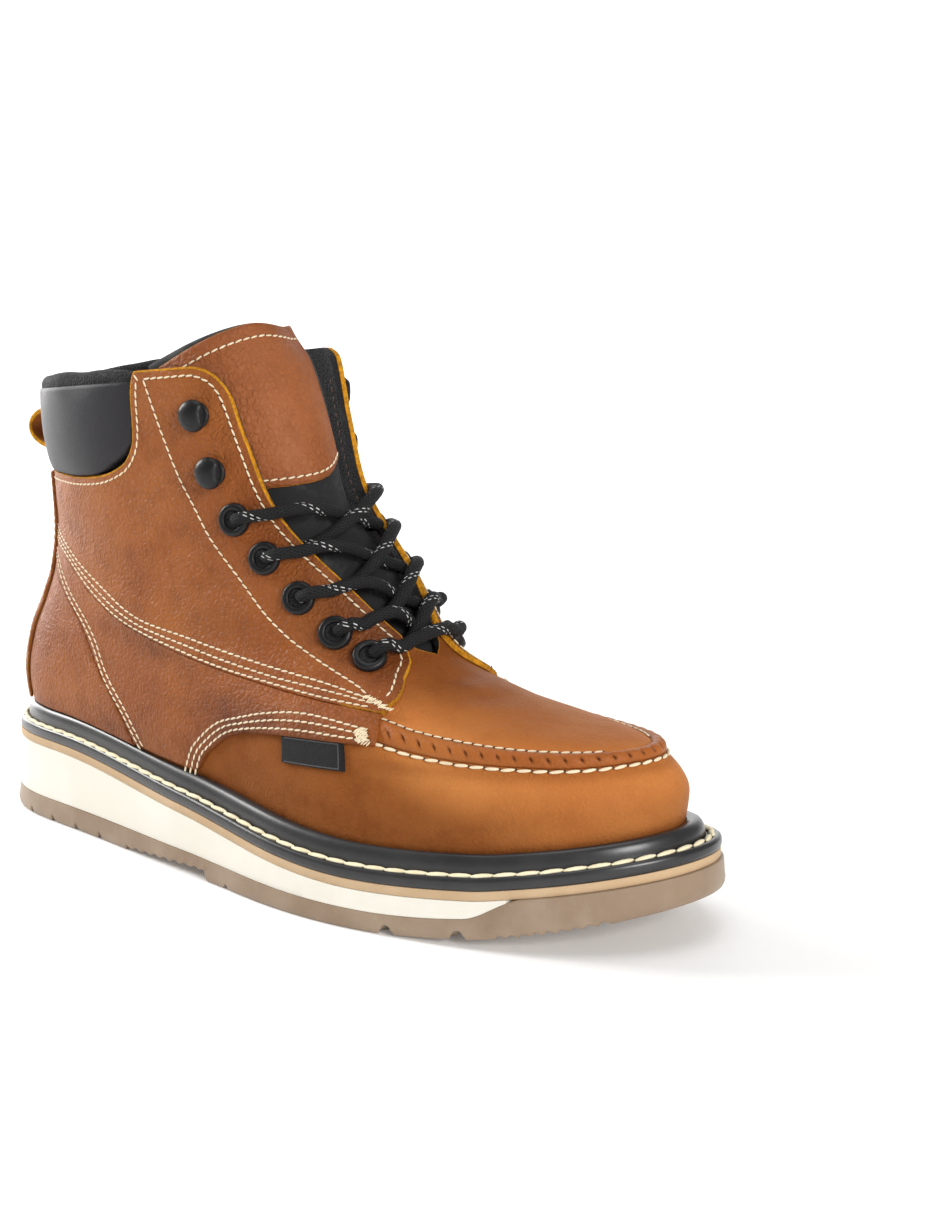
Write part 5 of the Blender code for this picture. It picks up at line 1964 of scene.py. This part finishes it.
@dataclass
class Collar:
    """Padded collar band and the pull loop behind it."""

    bulge: float = 4.9
    pressure: float = 4.0
    swell_frames: int = 20
    swell_cap: float = 2.0
    inside: float = -5.5
    end_angle: float = 97.5
    overlap: float = 0.5
    loop_half_width: float = 6.0
    loop_start: float = 4.9
    loop_reach: float = 21.5
    loop_half_height: float = 8.0
    loop_straight: float = 5.0
    loop_middle: float = 152.0

    def tucked(self, theta: Array, t: Array) -> Array:
        """Angles with the pad's ends pushed against the tab's back edge.

        Args:
            theta: Signed angles.
            t: Levels.

        Returns:
            The pushed angles.
        """
        angle = np.linspace(90.0, 105.0, 80)
        edge = np.interp(t, TOP_LINE.at("t", angle), angle) + self.overlap
        share = np.abs(theta) / math.radians(self.end_angle)
        return theta + np.sign(theta) * np.radians(edge - self.end_angle) * share**8

    def pad_points(self, cloth_rows: int) -> Array:
        """Rows of the pad: its cloth, the groove above, the knitted roll and the lining down again.

        Args:
            cloth_rows: Rows of its cloth.

        Returns:
            Rows by columns by coordinates.
        """
        end = math.radians(self.end_angle)
        theta = np.linspace(-end, end, 190)[None, :]
        low = LAST.top_line(theta) + 0.02
        top = LAST.tab_top - 0.17
        share = np.linspace(0, 1, cloth_rows)[:, None]
        ends = np.sqrt(np.maximum(1 - (theta / math.radians(self.end_angle + 1.0)) ** 8, 0.0))
        belly = np.sqrt(np.maximum(1 - (1.55 * share - 0.9) ** 2, 0.0))
        gather = wave(np.degrees(theta) / 60.0, 5, 0.8, 4.5)
        fold = 0.30 * gather * bell(share - 1.0, 0.14)
        fold = fold + 0.20 * wave(np.degrees(theta) / 60.0, 9, 0.6, 2.6) * bell(share, 0.2)
        cloth_t = low + (top - low) * share
        cloth = 0.4 + (self.bulge - 0.4) * belly * ends + fold
        groove = np.array((0.25, 0.75))[:, None] * np.ones_like(theta)
        seat = cloth[-1:] - 0.9 * groove
        bend = np.linspace(0.06, 1.0, 22)[:, None] * math.pi
        middle = (seat[-1:] + self.inside + 0.8) / 2
        half = (seat[-1:] - self.inside - 0.8) / 2
        roll = middle + half * np.cos(bend) + 0.10 * gather * np.sin(bend)
        roll_t = top + 0.012 + (0.24 + 0.012 * gather) * np.sin(bend) ** 0.8 * (0.35 + 0.65 * ends)
        down = np.linspace(0, 1, 16)[1:, None]
        inner_t = top + (low - top) * down
        inner = self.inside + 0.8 * (1 - down) ** 2 + 1.6 * bell(1 - down, 0.12) + 0.0 * theta
        levels = np.concatenate([cloth_t, top + 0.010 * groove, roll_t, inner_t])
        lifts = np.concatenate([cloth, seat, roll, inner])
        return LAST.lifted(self.tucked(np.broadcast_to(theta, levels.shape), levels), levels, lifts)

    def build_pad(self) -> None:
        """Crowned pad with a knitted top and lining."""
        cloth_rows = 26
        points = self.pad_points(cloth_rows)
        rows, columns = points.shape[:2]
        faces = quads(rows, columns)
        slots = [0 if face[0] // columns < cloth_rows else 1 for face in faces]
        foot = (rows - 1) * columns
        faces += [(foot + j, foot + j + 1, j + 1, j) for j in range(columns - 1)]
        slots += [1] * (columns - 1)
        strips = [(i, i + 1, rows - 2 - i, rows - 1 - i) for i in range(rows // 2)]
        for j in (0, columns - 1):
            sides = whole_faces([[i * columns + j for i in strip] for strip in strips])
            faces += sides
            slots += [0] * len(sides)
        held = np.zeros((rows, columns))
        held[[0, *range(cloth_rows - 1, rows)]] = 1.0
        held[:, [0, 1, -2, -1]] = 1.0
        finishes = [Finish.PAD, Finish.LINING]
        pad = add_piece("padded_collar", points.reshape(-1, 3), faces, finishes, slots, {"held": held}, 70.0)
        self.swell(pad)
        settle(pad, "collar", "collar_pad")

    def swell(self, pad: Piece) -> None:
        """Swells the pad's cloth between its sewn edges and keeps the result in the mesh.

        Args:
            pad: The pad, with its sewn points marked in the attribute held.
        """
        mesh = pad.data
        count = len(mesh.vertices)
        held = np.zeros(count, np.float32)
        mesh.attributes["held"].data.foreach_get("value", held)
        group = pad.vertex_groups.new(name="held")
        group.add(np.flatnonzero(held > 0.5).tolist(), 1.0, "REPLACE")
        modifier = pad.modifiers.new("swell", "CLOTH")
        modifier.point_cache.frame_start = 1
        modifier.point_cache.frame_end = self.swell_frames
        settings = {
            "quality": 5, "mass": 0.05, "tension_stiffness": 16.0, "compression_stiffness": 16.0,
            "shear_stiffness": 6.0, "bending_stiffness": 4.0, "use_pressure": True,
            "uniform_pressure_force": self.pressure, "vertex_group_mass": group.name,
        }
        for name, value in settings.items():
            setattr(modifier.settings, name, value)
        modifier.settings.effector_weights.gravity = 0.0
        scene = bpy.context.scene
        first = scene.frame_current
        for moment in range(1, self.swell_frames + 1):
            scene.frame_set(moment)
        start = np.empty(3 * count)
        mesh.vertices.foreach_get("co", start)
        end = np.empty(3 * count)
        pad.evaluated_get(bpy.context.evaluated_depsgraph_get()).data.vertices.foreach_get("co", end)
        move = (end - start).reshape(-1, 3)
        far = np.linalg.norm(move, axis=1, keepdims=True)
        move *= np.minimum(1.0, self.swell_cap * MM / np.maximum(far, 1e-9))
        mesh.vertices.foreach_set("co", start + move.ravel())
        mesh.update()
        pad.modifiers.remove(modifier)
        pad.vertex_groups.remove(group)
        scene.frame_set(first)
        LOG.info("pad swollen by up to %.1f mm", float(far.max()) / MM)

    def build_loop(self) -> None:
        """Leather pull loop with rounded edges."""
        start = float(LAST.point(0.0, 7.0)[0]) - self.loop_start
        tall, straight = self.loop_half_height, self.loop_straight
        turn = np.linspace(math.pi / 2, 3 * math.pi / 2, 48)
        bend = self.loop_reach - straight
        level = self.loop_middle
        path = [(start, level + tall)]
        path += [(start - straight + bend * math.cos(a), level + tall * math.sin(a)) for a in turn]
        line = np.array(path + [(start, level - tall)])
        ahead = unit(np.gradient(line, axis=0))
        out = np.stack([-ahead[:, 1], ahead[:, 0]], -1)
        wide = self.loop_half_width
        corner = [(wide, 0.4), (wide - 0.3, 0.85), (wide - 0.9, 1.0)]
        outer = [(-y, h) for y, h in corner] + corner[::-1]
        shape = outer + [(-y, -h) for y, h in outer]
        rings = []
        for place, way in zip(line, out):
            rings.append([(place[0] + h * way[0], y, place[1] + h * way[1]) for y, h in shape])
        raw = np.tile([1.0 if abs(y) > wide - 0.5 else 0.0 for y, _ in shape], len(rings))
        piece = loft("heel_loop", rings, Finish.LOOP, crease=60.0, numbers={"edge": raw})
        settle(piece, "loop_leather", "pull_loop")

    def build(self) -> None:
        """Builds the pad and the loop."""
        self.build_pad()
        self.build_loop()


@dataclass(frozen=True)
class TongueCut:
    """Outline of a sheet of the tongue: levels, half angles there, medial share and corners."""

    span: tuple[float, float]
    spread: tuple[float, float]
    medial: float
    pinch: float
    corner: float
    tilt: float


@dataclass
class Tongue:
    """Black tongue with its leather patch, both sitting towards the lateral flap."""

    body_cut: TongueCut = TongueCut((4.0, 8.80), (17.0, 65.0), 0.877, 0.0, 0.45, 0.0)
    patch_cut: TongueCut = TongueCut((6.45, 8.76), (41.3, 58.3), 0.69, 0.18, 0.0, 0.20)
    shift: float = 12.0
    dip: float = 3.5
    lift: float = -5.4
    thick: float = 1.5
    patch_lift: float = -3.25
    patch_thick: float = 1.1

    def sheet(
        self, name: str, cut: TongueCut, lift: float, thick: float, finish: Finish
    ) -> Piece:
        """A crowned sheet across the front.

        Args:
            name: The piece's name.
            cut: Its outline.
            lift: Height of its underside.
            thick: Its thickness.
            finish: Its finish.

        Returns:
            The object.
        """
        rise = np.linspace(0, 1, 110)[:, None]
        share = np.linspace(-1, 1, 90)[None, :]
        theta, t, lean = self.places(rise, share, cut)
        border = np.minimum(1 - np.abs(share), 2.2 * np.minimum(rise, 1 - rise))
        drop = 0.7 * thick * bell(border, 0.018)
        ripple = 0.10 * wave(rise * 1.6 + 0.9 * share, 21, 0.3, 0.9) * np.clip(border * 8, 0, 1)
        outer = LAST.lifted(theta, t, lift + thick + lean - drop + ripple)
        inner = LAST.lifted(theta, t, lift + lean + ripple)
        raw = bell(border, 0.012).ravel()
        darkening = 0.25 * bell(border, 0.1).ravel()
        numbers = {"edge": np.concatenate([raw, np.ones(raw.size)]), "darkening_and_painted_shade": np.tile(darkening, 2)}
        return slab(name, outer, inner, [finish], numbers, 55.0)

    def places(
        self, rise: Array, share: Array, cut: TongueCut
    ) -> tuple[Array, Array, Array]:
        """Angles, levels and backward lean over a sheet.

        Args:
            rise: Shares of its height.
            share: Shares of its half width, -1 to 1.
            cut: Its outline.

        Returns:
            Angles, levels and lifts.
        """
        low, high = cut.span
        t = low + (high - low) * rise
        narrow = np.where(share > 0, cut.medial * (1 - 4 * cut.pinch * rise * (1 - rise)), 1.0)
        spread = cut.spread[0] + (cut.spread[1] - cut.spread[0]) * rise
        aside = self.shift * ease(4.5, 6.4, t)
        psi = np.radians(spread * share * narrow - aside)
        corner = np.where(share > 0, cut.corner * share**4, 0.72 * np.abs(share) ** 1.6)
        t = t - corner * ease(high - 1.6, high, t) + cut.tilt * share * (1 - rise)
        dip = self.dip * ease(math.radians(-14.0), math.radians(16.0), psi) * ease(5.0, 6.2, t)
        return math.pi + psi, t, -dip - 6.0 * ease(7.0, 9.0, t)

    def row(self, rise: float, reach: float) -> Path:
        """A stitch row across the patch.

        Args:
            rise: Share of the patch's height.
            reach: Share of its half width on each side.

        Returns:
            The path.
        """
        share = np.linspace(-reach, reach, 120)
        theta, t, lean = self.places(np.full(share.shape, rise), share, self.patch_cut)
        lift = self.patch_lift + self.patch_thick + lean + 0.05
        return Path(LAST.lifted(theta, t, lift), LAST.normal(theta, t))

    def build(self, sewing: SewingTree) -> None:
        """Builds the tongue, its patch and the patch's stitches.

        Args:
            sewing: The stitches' tree.
        """
        body = self.sheet("tongue_body", self.body_cut, self.lift, self.thick, Finish.NUBUCK)
        settle(body, "tongue", "tongue")
        patch = self.sheet("tongue_leather", self.patch_cut, self.patch_lift, self.patch_thick, Finish.PATCH)
        settle(patch, "patch_leather", "tongue_patch")
        rows = [self.row(0.90, 0.93), self.row(0.045, 0.91)]
        sewing.sew_pricked("patch", rows, Seam.FINE, "patch_leather")


@dataclass
class Fittings:
    """Eyelet rings and speed hooks on both flaps."""

    base: float = 2.6
    eyelet_radius: float = 5.85
    eyelet_hole: float = 3.3
    eyelet_thick: float = 1.7
    hook_radius: float = 5.6
    hook_height: float = 5.2
    hook_mouth: float = 0.62

    def place(self, row: Sequence[float], side: int) -> Matrix:
        """Axes on the leather at one row of a table."""
        _, angle, t, raised = row
        return LAST.frame_at(side * math.radians(angle), t, self.base + raised)

    def turned(self, place: Matrix, profile: Places, steps: int, mouth: float = 0.0) -> Array:
        """Rings of a profile turned about a place's out axis.

        Args:
            place: The axes.
            profile: Radii and heights.
            steps: Points of a ring.
            mouth: Half angle of a hook's pinched front, none at 0.

        Returns:
            Rings by points by coordinates.
        """
        turn = np.linspace(0, 2 * math.pi, steps, endpoint=False)
        bite = np.zeros(steps)
        if mouth:
            bite = np.exp(-((np.arctan2(np.sin(turn), np.cos(turn)) / mouth) ** 4))
        r, tall = self.hook_radius, self.hook_height
        rings = []
        for radius, height in profile:
            pinch = bite * float(ease(0.38 * tall, 0.50 * tall, height))
            wide = radius * (1 - 0.32 * pinch * min(1.0, radius / (0.9 * r)))
            high = height + 0.25 * pinch * (radius / r) ** 3
            spots = np.stack([wide * np.cos(turn), wide * np.sin(turn), high], -1)
            rings.append([place @ Vector(spot) for spot in spots])
        return np.array(rings)

    def build_eyelet(self, side: int, word: str, row: Sequence[float]) -> None:
        """One rolled ring with a dark well.

        Args:
            side: +1 lateral, -1 medial.
            word: The end of its name.
            row: Its row of the table.
        """
        place = self.place(row, side)
        r, hole, tall = self.eyelet_radius, self.eyelet_hole, self.eyelet_thick
        ring = (
            (hole, -0.3), (hole, 0.55 * tall), (hole + 0.15, 0.85 * tall), (hole + 0.5, tall),
            (r - 1.0, 0.98 * tall), (r - 0.45, 0.85 * tall), (r - 0.1, 0.5 * tall), (r, 0.1 * tall),
            (r, -0.3 - row[3]),
        )
        piece = loft(f"ring_{word}", self.turned(place, ring, 36), Finish.ENAMEL, True, 40.0)
        settle(piece, "fittings", f"eyelet_{word}")
        bowl = ((hole + 0.3, -0.5), (hole + 0.3, 0.25), (0.5 * hole, 0.12), (0.02, 0.1))
        settle(loft(f"well_{word}", self.turned(place, bowl, 20), Finish.LINING), "fittings")

    def build_hook(self, side: int, word: str, row: Sequence[float]) -> None:
        """One domed speed hook, open towards the front.

        Args:
            side: +1 lateral, -1 medial.
            word: The end of its name.
            row: Its row of the table.
        """
        place = self.place(row, side)
        if side < 0:
            place = place @ Matrix.Rotation(math.pi, 4, "Z")
        shares = (
            (0.86, 0.10), (0.80, 0.16), (0.62, 0.20), (0.58, 0.34), (0.80, 0.42), (0.97, 0.46), (1.0, 0.52),
            (0.99, 0.60), (0.90, 0.75), (0.70, 0.88), (0.42, 0.96), (0.12, 1.0),
        )
        dome = [(wide * self.hook_radius, high * self.hook_height) for wide, high in shares]
        rings = self.turned(place, [(dome[0][0], -0.35), *dome], 44, self.hook_mouth)
        settle(loft(f"speed_hook_{word}", rings, Finish.ENAMEL, crease=42.0), "fittings", f"hook_{word}")

    def build(self) -> None:
        """Builds every ring and hook."""
        for side, word in ((1, "lateral"), (-1, "medial")):
            for row in EYELETS.rows:
                self.build_eyelet(side, f"{word}_{row[0] + 1}", row)
            for row in HOOKS.rows:
                self.build_hook(side, f"{word}_{row[0] + 1}", row)


@dataclass
class Laces:
    """Round braid: the lowest bar and the crossings, run through the eyelets."""

    fittings: Fittings
    radius: float = 2.25
    around: int = 18
    wide: float = 1.08
    tall: float = 0.94
    upward: Spot = (0.35, 0.0, 0.94)
    over_tongue: float = -1.1
    crossing_rise: float = 3.74
    eyelet_clear: float = 7.0

    def tube(self, name: str, paths: Sequence[Array], node: str) -> None:
        """Tubes along paths with a UV map of length and turns.

        Args:
            name: The piece's name.
            paths: Middle lines.
            node: The solid that it stands for.
        """
        points: list[Array] = []
        faces: list[tuple[int, ...]] = []
        chart: list[tuple[float, float]] = []
        around = self.around
        turn = np.linspace(0, 2 * math.pi, around, endpoint=False)[None, :, None]
        for path in paths:
            line = smooth_line(path, 150)
            far = lengths(line)
            ahead = unit(np.gradient(line, axis=0))
            across = unit(np.cross(ahead, np.array(self.upward)))
            other = np.cross(across, ahead)
            ring = np.cos(turn) * across[:, None] * self.wide + np.sin(turn) * other[:, None] * self.tall
            tip = np.minimum(far, far[-1] - far) / 1.2
            fat = self.radius * np.sqrt(np.clip(0.25 + tip, 0.0, 1.0))
            start = sum(len(p) for p in points)
            points.append((line[:, None] + ring * fat[:, None, None]).reshape(-1, 3))
            faces += quads(len(line), around, start, True)
            for u0, u1 in zip(far, far[1:]):
                for j in range(around):
                    v0, v1 = j / around, (j + 1) / around
                    chart += [(u0, v0), (u0, v1), (u1, v1), (u1, v0)]
            for a in (start, start + (len(line) - 1) * around):
                faces.append(tuple(range(a, a + around)))
                chart += [(0.0, 0.0)] * around
        mesh = new_mesh(name, np.concatenate(points), faces)
        layer = mesh.uv_layers.new(name="lace")
        layer.data.foreach_set("uv", np.array(chart, np.float32).ravel())
        mesh.materials.append(Finish.BRAID.material())
        turn_out(mesh, False)
        settle(link(name, mesh), "lace", node)

    def into_eyelet(self, side: int, k: int, towards: Array) -> list[Array]:
        """Points over an eyelet's ring and down its hole.

        Args:
            side: +1 lateral, -1 medial.
            k: The eyelet's number.
            towards: Where the lace comes from.

        Returns:
            Points from the ring's edge to the end in the hole.
        """
        _, angle, t, raised = EYELETS.rows[k]
        base = self.fittings.base + raised
        theta = side * math.radians(angle)
        middle = LAST.lifted(theta, t, 0.0)
        out = LAST.normal(theta, t)
        way = towards - middle
        way = way - out * float(way @ out)
        way = unit(way)
        top = base + self.fittings.eyelet_thick
        rest = top + (1.45 if side > 0 else 0.8)
        shape = ((7.0, rest - 0.3), (5.0, rest), (3.0, top + 0.6), (1.4, top - 0.6), (0.6, base + 0.4))
        return [middle + way * far + out * height for far, height in shape]

    def strand(self, side: int, low: int, crossing: float) -> Array:
        """From under one flap, over the tongue, to the next eyelet of the other flap.

        Args:
            side: +1 to end on the lateral flap, -1 on the medial flap.
            low: Number of the eyelet that it leaves.
            crossing: Height at the crossing.

        Returns:
            Points of its middle line.
        """
        above = EYELETS.rows[low + 1]
        start_t = max(EYELETS.rows[low][2] + 0.28, LAST.throat_base + 0.24)
        gap = float(THROAT.at("gap", start_t))
        wide = float(LAST.reach(np.array(math.pi - 0.2), np.array(start_t))) / 0.2
        start = (gap - 2.8) / wide
        end = math.radians(180.0 - above[1])
        step = LAST.point(math.pi - end, above[2]) - LAST.point(math.pi - end + 0.01, above[2])
        end -= self.eyelet_clear * 0.01 / float(np.linalg.norm(step))
        share = np.linspace(0.0, 1.0, 10)
        turn = -start + (end + start) * share
        t = start_t + (above[2] + 0.03 - start_t) * share + 0.24 * np.sin(math.pi * share**1.15)
        flap = math.pi - LAST.throat_angle(t, -side)
        over_flap = self.fittings.base + (self.radius + 0.3 if side > 0 else 1.4)
        rise = ease(0.0, 1.0, (turn + start) / start) * (crossing - self.over_tongue)
        climb = np.maximum(turn, 0.0) / np.maximum(flap - 0.06, 0.05)
        lift = self.over_tongue + rise + (over_flap - self.over_tongue - rise) * ease(0.0, 1.0, climb)
        path = list(LAST.lifted(math.pi - side * turn, t, lift))
        under = [(gap + 5.0, -4.6), (gap + 1.2, -3.6)]
        hidden = [LAST.lifted(math.pi + side * far / wide, start_t - 0.03, height) for far, height in under]
        return np.array(hidden + path[:-1] + self.into_eyelet(side, low + 1, path[-3]))

    def bar(self) -> Array:
        """The lowest run across the vamp, into both lowest eyelets.

        Returns:
            Points of its middle line.
        """
        half = math.radians(180.0 - EYELETS.rows[0][1]) - self.eyelet_clear / 62.0
        turn = np.linspace(-half, half, 9)
        lift = self.fittings.base + self.radius + 0.5
        t = EYELETS.rows[0][2] + 0.30 * np.cos(math.pi / 2 * turn / half) ** 0.8
        middle = list(LAST.lifted(math.pi + turn, t, lift))
        first = self.into_eyelet(1, 0, middle[2])
        last = self.into_eyelet(-1, 0, middle[-3])
        return np.array(first[::-1] + middle[1:-1] + last)

    def build(self) -> None:
        """Builds the bar and every crossing."""
        self.tube("lace_run_low", [self.bar()], "lace_bar")
        for low in range(len(EYELETS.rows) - 1):
            over = self.over_tongue + self.crossing_rise
            runs = [self.strand(1, low, self.over_tongue), self.strand(-1, low, over)]
            self.tube(f"lace_cross_{low + 1}", runs, f"lace_crossing_{low + 1}")


@dataclass
class Studio:
    """Pale sweep, soft lights and the camera."""

    azimuth: float = 42.62
    elevation: float = 10.29
    roll: float = -0.43
    distance: float = 596.2
    focal: float = 1657.4
    target: Spot = (0.0, 0.0, 80.0)
    middle: tuple[float, float] = (315.68, 639.68)
    frame_size: tuple[int, int] = (940, 1215)
    sensor: float = 36.0

    def build_sweep(self) -> None:
        """Floor that curves up far behind the boot."""
        turn = np.linspace(0, math.pi / 2, 14)
        profile = [(3000.0, 0.0), (0.0, 0.0), (-2200.0, 0.0)]
        profile += [(-2200.0 - 900 * math.sin(a), 900 - 900 * math.cos(a)) for a in turn]
        profile += [(-3100.0, 3200.0)]
        a = math.radians(self.azimuth)
        ahead = np.array((math.sin(a), -math.cos(a)))
        across = np.array((math.cos(a), math.sin(a)))
        points = []
        for far, height in profile:
            for side in (-3600.0, 3600.0):
                points.append((*(ahead * far + across * side), height))
        mesh = new_mesh("sweep", points, quads(len(profile), 2))
        mesh.shade_smooth()
        paint = Paint("sweep_paint")
        tone = paint.mix(paint.noise(paint.place(), 900.0, 2.0), (0.90, 0.90, 0.90), (0.93, 0.93, 0.93))
        glow = {"Emission_Color": (1.0, 1.0, 1.0), "Emission_Strength": 0.10}
        mesh.materials.append(paint.done(Base_Color=tone, Roughness=0.6, **glow))
        sweep = link("sweep", mesh)

    def light(
        self, name: str, place: Spot, size: float, power: float, tone: Colour,
        aim: Spot = (0.0, 0.0, 0.08),
    ) -> None:
        """One square soft light.

        Args:
            name: The light's name.
            place: Where it stands, in metres.
            size: Its side.
            power: Its watts.
            tone: Its colour.
            aim: Where it points.
        """
        data = bpy.data.lights.new(name, "AREA")
        data.energy = power
        data.size = size
        data.color = tone
        thing = link(name, data)
        thing.location = Vector(place)
        thing.rotation_euler = (Vector(aim) - Vector(place)).to_track_quat("-Z", "Y").to_euler()

    def build_lights(self) -> None:
        """Soft key from the upper left of the view, a fill and a low back light."""
        world = bpy.data.worlds.new("studio")
        world.use_nodes = True
        back = world.node_tree.nodes["Background"]
        back.inputs["Color"].default_value = (1.0, 1.0, 1.0, 1.0)
        back.inputs["Strength"].default_value = 0.24
        bpy.context.scene.world = world
        bpy.context.scene.view_settings.view_transform = "Standard"
        self.light("key", (-1.65, -0.55, 0.95), 0.7, 34.0, (1.0, 0.99, 0.97))
        self.light("fill", (1.70, -0.55, 0.75), 0.7, 28.0, (1.0, 0.99, 0.98))
        self.light("top", (0.15, -0.10, 1.9), 1.3, 11.0, (1.0, 1.0, 1.0))
        self.light("rim", (-1.75, 0.40, 0.50), 0.9, 15.0, (1.0, 1.0, 1.0))
        self.light("wall", (-1.15, 1.25, 1.6), 1.6, 42.0, (1.0, 1.0, 1.0), (-2.2, 2.4, 0.5))

    def build_camera(self) -> None:
        """Camera at the picture's angle, with the shift of its framing."""
        a, e = math.radians(self.azimuth), math.radians(self.elevation)
        back = Vector((math.sin(a) * math.cos(e), -math.cos(a) * math.cos(e), math.sin(e)))
        right = (-back).cross(Vector((0.0, 0.0, 1.0))).normalized()
        up = right.cross(-back)
        roll = math.radians(self.roll)
        cos, sin = math.cos(roll), math.sin(roll)
        right, up = right * cos + up * sin, up * cos - right * sin
        data = bpy.data.cameras.new("camera")
        wide, tall = self.frame_size
        data.sensor_width = self.sensor
        data.lens = self.focal * self.sensor / tall
        data.shift_x = (wide / 2 - self.middle[0]) / tall
        data.shift_y = (self.middle[1] - tall / 2) / tall
        data.clip_start = 0.01
        data.clip_end = 50.0
        camera = link("camera", data)
        place = Matrix((right, up, back)).transposed().to_4x4()
        place.translation = (Vector(self.target) + back * self.distance) * MM
        camera.matrix_world = place
        bpy.context.scene.camera = camera

    def build(self) -> None:
        """Builds the studio."""
        self.build_sweep()
        self.build_lights()
        self.build_camera()


def main() -> None:
    """Builds the boot's parts in order."""
    logging.basicConfig(level=logging.INFO, format="%(name)s %(message)s")
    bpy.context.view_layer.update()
    sewing = SewingTree("sewing")
    upper = Upper()
    fittings = Fittings()
    Studio().build()
    Sole().build(sewing)
    upper.build()
    Stitching(upper).build(sewing)
    Collar().build()
    Tongue().build(sewing)
    fittings.build()
    Laces(fittings).build()


if __name__ == "__main__":
    main()
